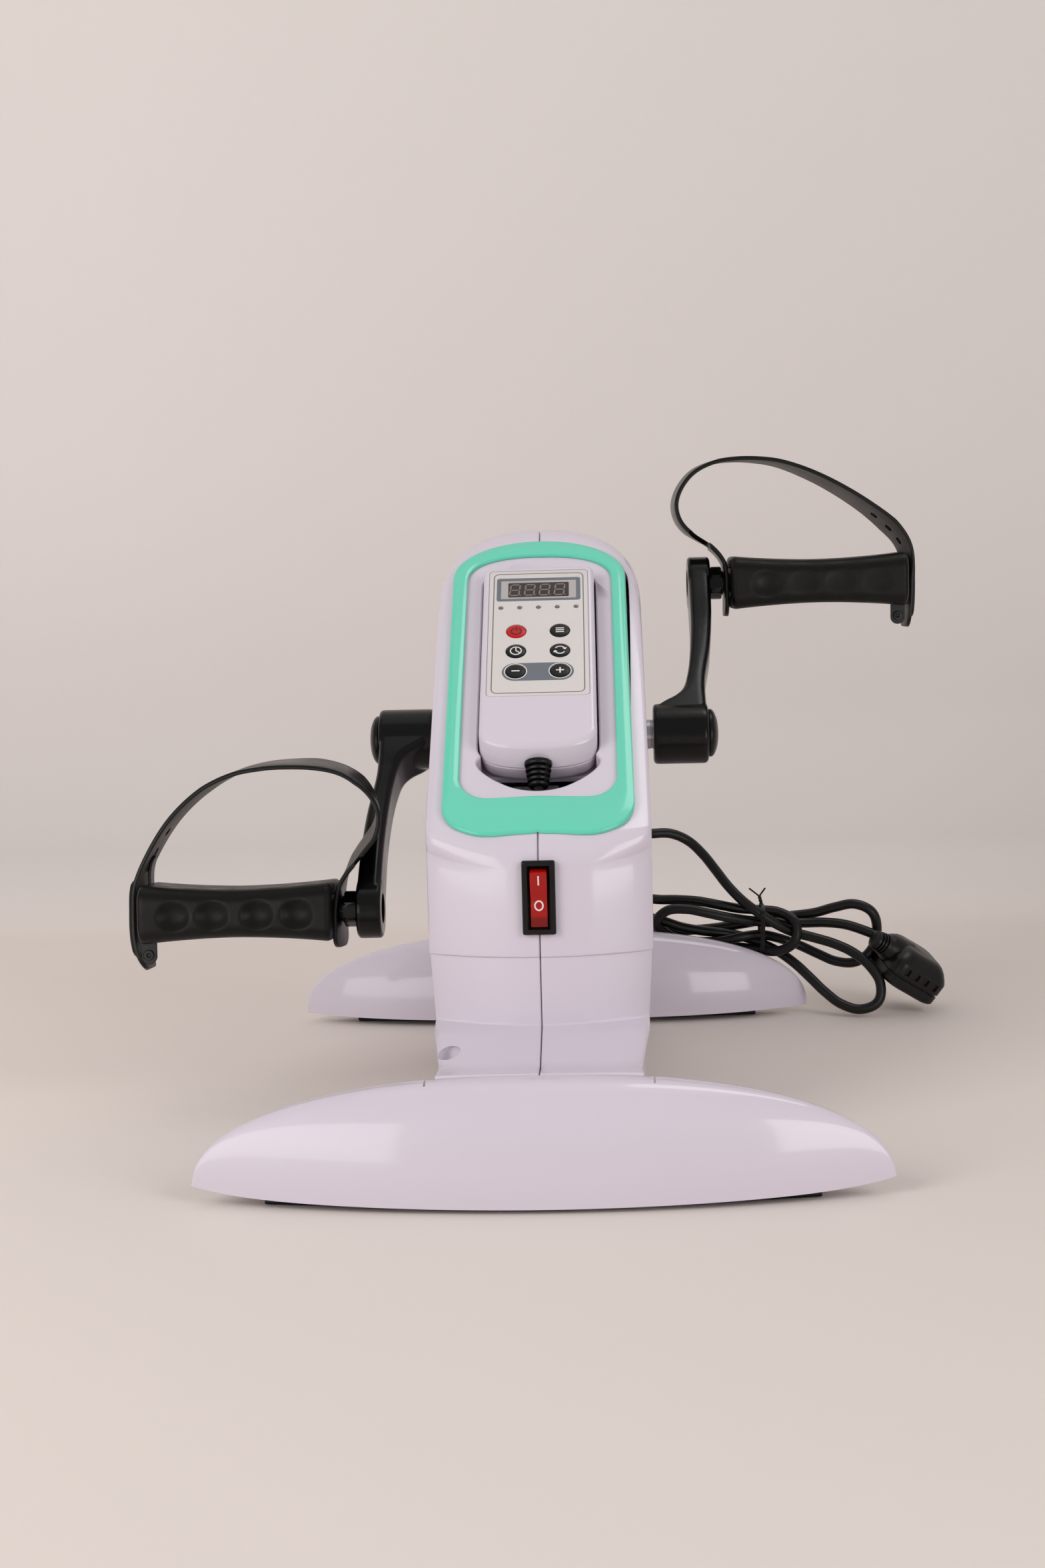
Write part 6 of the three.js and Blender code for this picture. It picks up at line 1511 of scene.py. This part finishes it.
for sx, a in ((-1, "left"), (1, "right")):
    for sy, b in ((-1, "front"), (1, "rear")):
        put(f"{b}_foot_pad_{a}", pad(sx, sy), "base", "rubber_pad", replaces=(f"{b}_pad_{a}",))


def gland():
    prof = [(98.5, 3.2), (98.5, 5.6), (103.8, 5.6), (103.8, 8.0), (104.0, 8.2), (105.3, 8.2), (105.9, 7.9), (106.6, 6.6), (107.3, 6.0)]
    r = lambda t: 6.0 - 1.75 * (t / 26)
    t = 1.4
    while t < 24:
        prof += [(107.3 + t, r(t)), (107.5 + t, r(t) - 1.0), (108.4 + t, r(t) - 1.05), (108.6 + t, r(t + 1.3))]
        t += 3.0
    prof += [(132.6, 4.25), (133.2, 3.9), (133.35, 3.2)]
    rings = [[(12 + q * math.cos(2 * math.pi * k / 48), y, 98 + q * math.sin(2 * math.pi * k / 48)) for k in range(48)] for y, q in prof]
    bore = [[(12 + 2.95 * math.cos(2 * math.pi * k / 48), y, 98 + 2.95 * math.sin(2 * math.pi * k / 48)) for k in range(48)] for y in (133.35, 98.5)]
    V, F, _ = loft(rings + bore, caps=False, closed=True)
    return shade(mesh("gland", V, F), 35)


put("lead_gland", gland(), "base", "cord_pvc", replaces=("cable_gland",))

PLUG_M = Matrix.Translation((207, 178, 26)) @ (Matrix.Rotation(0.12, 4, "X") @ Matrix.Rotation(0.62, 4, "Y") @ Matrix.Rotation(0.30, 4, "Z"))


def plug():
    n = 20
    R = lambda hx, hy, r, z: [(x, y, z) for x, y in resample(round_rect(-hx, hx, -hy, hy, r, 8), 96)]
    V, F, s = loft([R(14.5, 15.5, 7, -12.5), R(16.0, 17.0, 7.2, -12.2), R(17.6, 18.6, 7.2, -11.3), R(18.4, 19.4, 7.2, -10.2), R(18.5, 19.5, 7.2, -8.8), R(18.5, 19.5, 7.2, -5.6),
                    R(17.7, 18.7, 7, -5.3), R(17.7, 18.7, 7, -4.4), R(18.5, 19.5, 7.2, -4.1), R(18.5, 19.5, 7.2, 2.6), R(18.1, 19.1, 7, 3.6), R(16.9, 17.7, 6.6, 5.8),
                    R(15.2, 15.7, 6.2, 8.3), R(13.2, 13.4, 5.6, 10.2), R(11.4, 11.5, 5, 11.0), R(10.0, 10.1, 4.6, 11.15)])
    me = mesh("plug", V, F)
    Vn, Fn, _ = lathe([(-10, 9.4), (0, 9.0), (3.5, 8.3), (5.0, 7.6), (6.2, 6.9), (7.0, 6.6)] + sum([[(7.4 + k * 1.9, 6.5 - 0.3 * k), (7.6 + k * 1.9, 5.5 - 0.3 * k), (8.3 + k * 1.9, 5.5 - 0.3 * k), (8.5 + k * 1.9, 6.45 - 0.3 * k)] for k in range(3)], []) + [(13.6, 5.3), (14.0, 4.6), (14.1, 3.0)], 48,
                      Matrix.Translation((-16, 0, 3)) @ Matrix.Rotation(math.pi, 4, "Z"))
    ops = [("UNION", mesh("neck", Vn, Fn))]
    # grip slots on the two long sides
    for sy in (-1, 1):
        for x in (-10.5, -3.5, 3.5, 10.5):
            y0, y1 = sorted((sy * 18.4, sy * 21))
            ops.append(("DIFFERENCE", box_mesh(x - 1.5, x + 1.5, y0, y1, -2.4, 1.6)))
    me = csg(me, *ops)
    me.transform(Matrix.Translation(PLUG_M.translation * MM) @ PLUG_M.to_3x3().to_4x4())
    return shade(me, 32)


plug_piece = put("plug_body", plug(), "base", "cord_pvc", replaces=("mains_plug",))


def hank_ring(x, grow, n=48, reach=8):
    S = catmull(CORD[12:], 7)
    near = S[np.abs(S[:, 0] - x) < reach]
    w = 2 * math.pi * (np.arange(n) + 0.5) / n
    h = np.array([(near[:, 1] * math.cos(a) + near[:, 2] * math.sin(a)).max() for a in w]) + 2.9 + grow
    out = []
    for k in range(n):
        a, b = w[k], w[(k + 1) % n] + (2 * math.pi if k == n - 1 else 0)
        h1 = h[(k + 1) % n]
        det = math.sin(b - a)
        out.append(((h[k] * math.sin(b) - h1 * math.sin(a)) / det, (h1 * math.cos(a) - h[k] * math.cos(b)) / det))
    return out


def tie():
    """Twist tie: a flat band with a wire core, closed by a twist on the hank's upper side."""
    loop = resample(hank_ring(121.5, 0.75, 48, 1.4), 96)
    rings = []
    for i in range(96):
        p, q, r_ = loop[i - 1], loop[i], loop[(i + 1) % 96]
        t = np.array(r_) - p; t /= np.linalg.norm(t)
        n = np.array([t[1], -t[0]])
        ring = []
        for b, a in ((-1.3, -0.18), (-0.55, -0.22), (-0.4, -0.5), (0.4, -0.5), (0.55, -0.22), (1.3, -0.18), (1.3, 0.18), (0.55, 0.22), (0.4, 0.5), (-0.4, 0.5), (-0.55, 0.22), (-1.3, 0.18)):
            ring.append((121.5 + b, q[0] + n[0] * a, q[1] + n[1] * a))
        rings.append(ring)
    V, F, _ = loft(rings, caps=False, closed=True)
    parts = [(V, F, 0)]
    k = int(np.argmax([p[1] - 0.35 * abs(p[0] - 181) for p in loop]))
    base = np.array([121.5, loop[k][0], loop[k][1] + 0.3])
    for ph in (0.0, math.pi):
        path = []
        for t in np.linspace(0, 1, 60):
            a = ph + t * 5.5 * math.pi if t < 0.55 else ph + 0.55 * 5.5 * math.pi
            rr = 0.65
            off = np.array([0, math.cos(a), math.sin(a)]) * rr if t < 0.55 else np.array([0, math.cos(a), math.sin(a)]) * (rr + (t - 0.55) * 9)
            axis_ = base + np.array([-2.5 * t, -3.0 * t, 9.5 * t])
            path.append(axis_ + np.array([off[1], off[2] * 0.6, 0]))
        Vt, Ft, _ = sweep(path, 0.5, 10)
        parts.append((Vt, Ft, 0))
    V, F, M = merge(parts)
    return shade(mesh("tie", V, F, M), 40)


tie_piece = put("twist_tie", tie(), "base", "cord_pvc", replaces=("cord_tie",))

# screws with a cross recess
for k, (y, z) in SCREWS.items():
    V, F, _ = lathe([(-11, 0.02), (-11, 1.2), (-9.5, 1.5), (34.2, 1.5), (34.2, 3.4), (34.4, 3.5), (35.4, 3.5), (36.2, 3.0), (36.6, 2.0), (36.7, 0.02)], 36)
    me = csg(mesh("screw", V + np.array([0, y, z]), F), ("DIFFERENCE", box_mesh(35.2, 38, y - 0.45, y + 0.45, z - 2.2, z + 2.2)), ("DIFFERENCE", box_mesh(35.2, 38, y - 2.2, y + 2.2, z - 0.45, z + 0.45)))
    put("cross_screw_" + k, shade(me, 30), "base", "bright_steel", replaces=("shell_screw_" + k,))


# ---------------------------------------------------------------- floor, backdrop, light
def backdrop_painted_shade(nt, b, tc, mul):
    """Paper with painted shade: a little darker in its bend and towards the right."""
    L = nt.links.new
    sep = nt.nodes.new("ShaderNodeSeparateXYZ")
    L(tc.outputs["Object"], sep.inputs[0])
    ramp = nt.nodes.new("ShaderNodeValToRGB")
    cr = ramp.color_ramp
    cr.elements[0].position, cr.elements[0].color = 0.0, srgb(233, 224, 218)
    cr.elements[1].position, cr.elements[1].color = 1.0, srgb(224, 217, 213)
    # painted shade: the tone dips lowest in the bend, with the floor lightest
    for p, c in ((0.02, srgb(224, 216, 211)), (0.07, srgb(211, 204, 201)), (0.2, srgb(216, 209, 206)), (0.5, srgb(222, 215, 212))):
        e = cr.elements.new(p)
        e.color = c
    mr = nt.nodes.new("ShaderNodeMapRange")
    mr.inputs["From Max"].default_value = 0.7
    L(sep.outputs["Z"], mr.inputs["Value"])
    L(mr.outputs["Result"], ramp.inputs["Fac"])
    # painted shade falling off towards the right (+X)
    side = nt.nodes.new("ShaderNodeMapRange")
    side.inputs["From Min"].default_value = -0.35
    side.inputs["From Max"].default_value = 0.5
    side.inputs["To Min"].default_value = 1.03
    side.inputs["To Max"].default_value = 0.94
    L(sep.outputs["X"], side.inputs["Value"])
    sc_ = nt.nodes.new("ShaderNodeVectorMath")
    sc_.operation = "SCALE"
    L(ramp.outputs["Color"], sc_.inputs[0])
    L(side.outputs["Result"], sc_.inputs["Scale"])
    L(sc_.outputs["Vector"], b.inputs["Base Color"])


def make_stage():
    prof = [(-2.6, 0.0)]
    prof += [(y, 0.0) for y in np.linspace(-2.0, 0.46, 12)]
    R = 0.16
    prof += [(0.46 + R * math.sin(a), R - R * math.cos(a)) for a in np.linspace(0.05, math.pi / 2, 24)]
    prof += [(0.46 + R, z) for z in np.linspace(R + 0.05, 3.0, 8)]
    xs = [-3.5, 3.5]
    verts = [(x, y, z) for x in xs for (y, z) in prof]
    n = len(prof)
    faces = [(i, i + 1, n + i + 1, n + i) for i in range(n - 1)]
    me = bpy.data.meshes.new("backdrop")
    me.from_pydata(verts, [], [f[::-1] for f in faces])
    me.polygons.foreach_set("use_smooth", [True] * len(me.polygons))
    o = bpy.data.objects.new("backdrop", me)
    scene.collection.objects.link(o)
    # the paper's colour carries painted shade in its bend and towards the right
    m = material("backdrop_paper", srgb(214, 207, 203), 0.62, mottle=0.01, mottle_scale=3, rough_var=0.05, spec=0.3, extra=backdrop_painted_shade)
    o.data.materials.append(m)
    o.location.z = -0.0002
    return o


def area(name, loc, target, size, size_y, power, color=(1, 1, 1)):
    d = bpy.data.lights.new(name, "AREA")
    d.shape = "RECTANGLE"
    d.size, d.size_y = size, size_y
    d.energy = power
    d.color = color
    o = bpy.data.objects.new(name, d)
    scene.collection.objects.link(o)
    o.location = loc
    o.rotation_mode = "QUATERNION"
    o.rotation_quaternion = (Vector(target) - Vector(loc)).to_track_quat("-Z", "Y")
    return o


make_stage()
key = area("softbox_left", (-1.35, -1.25, 0.95), (0, 0, 0.14), 0.9, 1.3, 19, (1.0, 0.985, 0.975))
fill = area("softbox_right", (1.35, -1.25, 0.9), (0, 0, 0.14), 0.9, 1.3, 13, (1.0, 0.985, 0.98))
key.visible_glossy = fill.visible_glossy = False
area("softbox_top", (0.0, 0.1, 2.1), (0, 0.15, 0.1), 1.6, 1.6, 3, (1.0, 0.99, 0.985))
# low panels in front of the object and one overhead, seen only as reflections in the glossy plastic
for nm, loc, tgt, wd, ht, e in (("panel_left", (-0.52, -0.62, 0.17), (-0.1, 0.3, 0.17), 0.62, 0.32, 1.3),
                                ("panel_right", (0.47, -0.62, 0.15), (0.1, 0.3, 0.15), 0.32, 0.28, 0.85),
                                ("panel_over", (0.66, 0.1, 1.9), (0.1, 0.1, 0.2), 0.55, 0.9, 4.2)):
    p = area(nm, loc, tgt, wd, ht, e, (1.0, 0.99, 0.985))
    p.visible_diffuse = False
w = bpy.data.worlds.new("world")
scene.world = w
w.use_nodes = True
w.node_tree.nodes["Background"].inputs["Color"].default_value = (0.86, 0.84, 0.84, 1)
w.node_tree.nodes["Background"].inputs["Strength"].default_value = 0.44
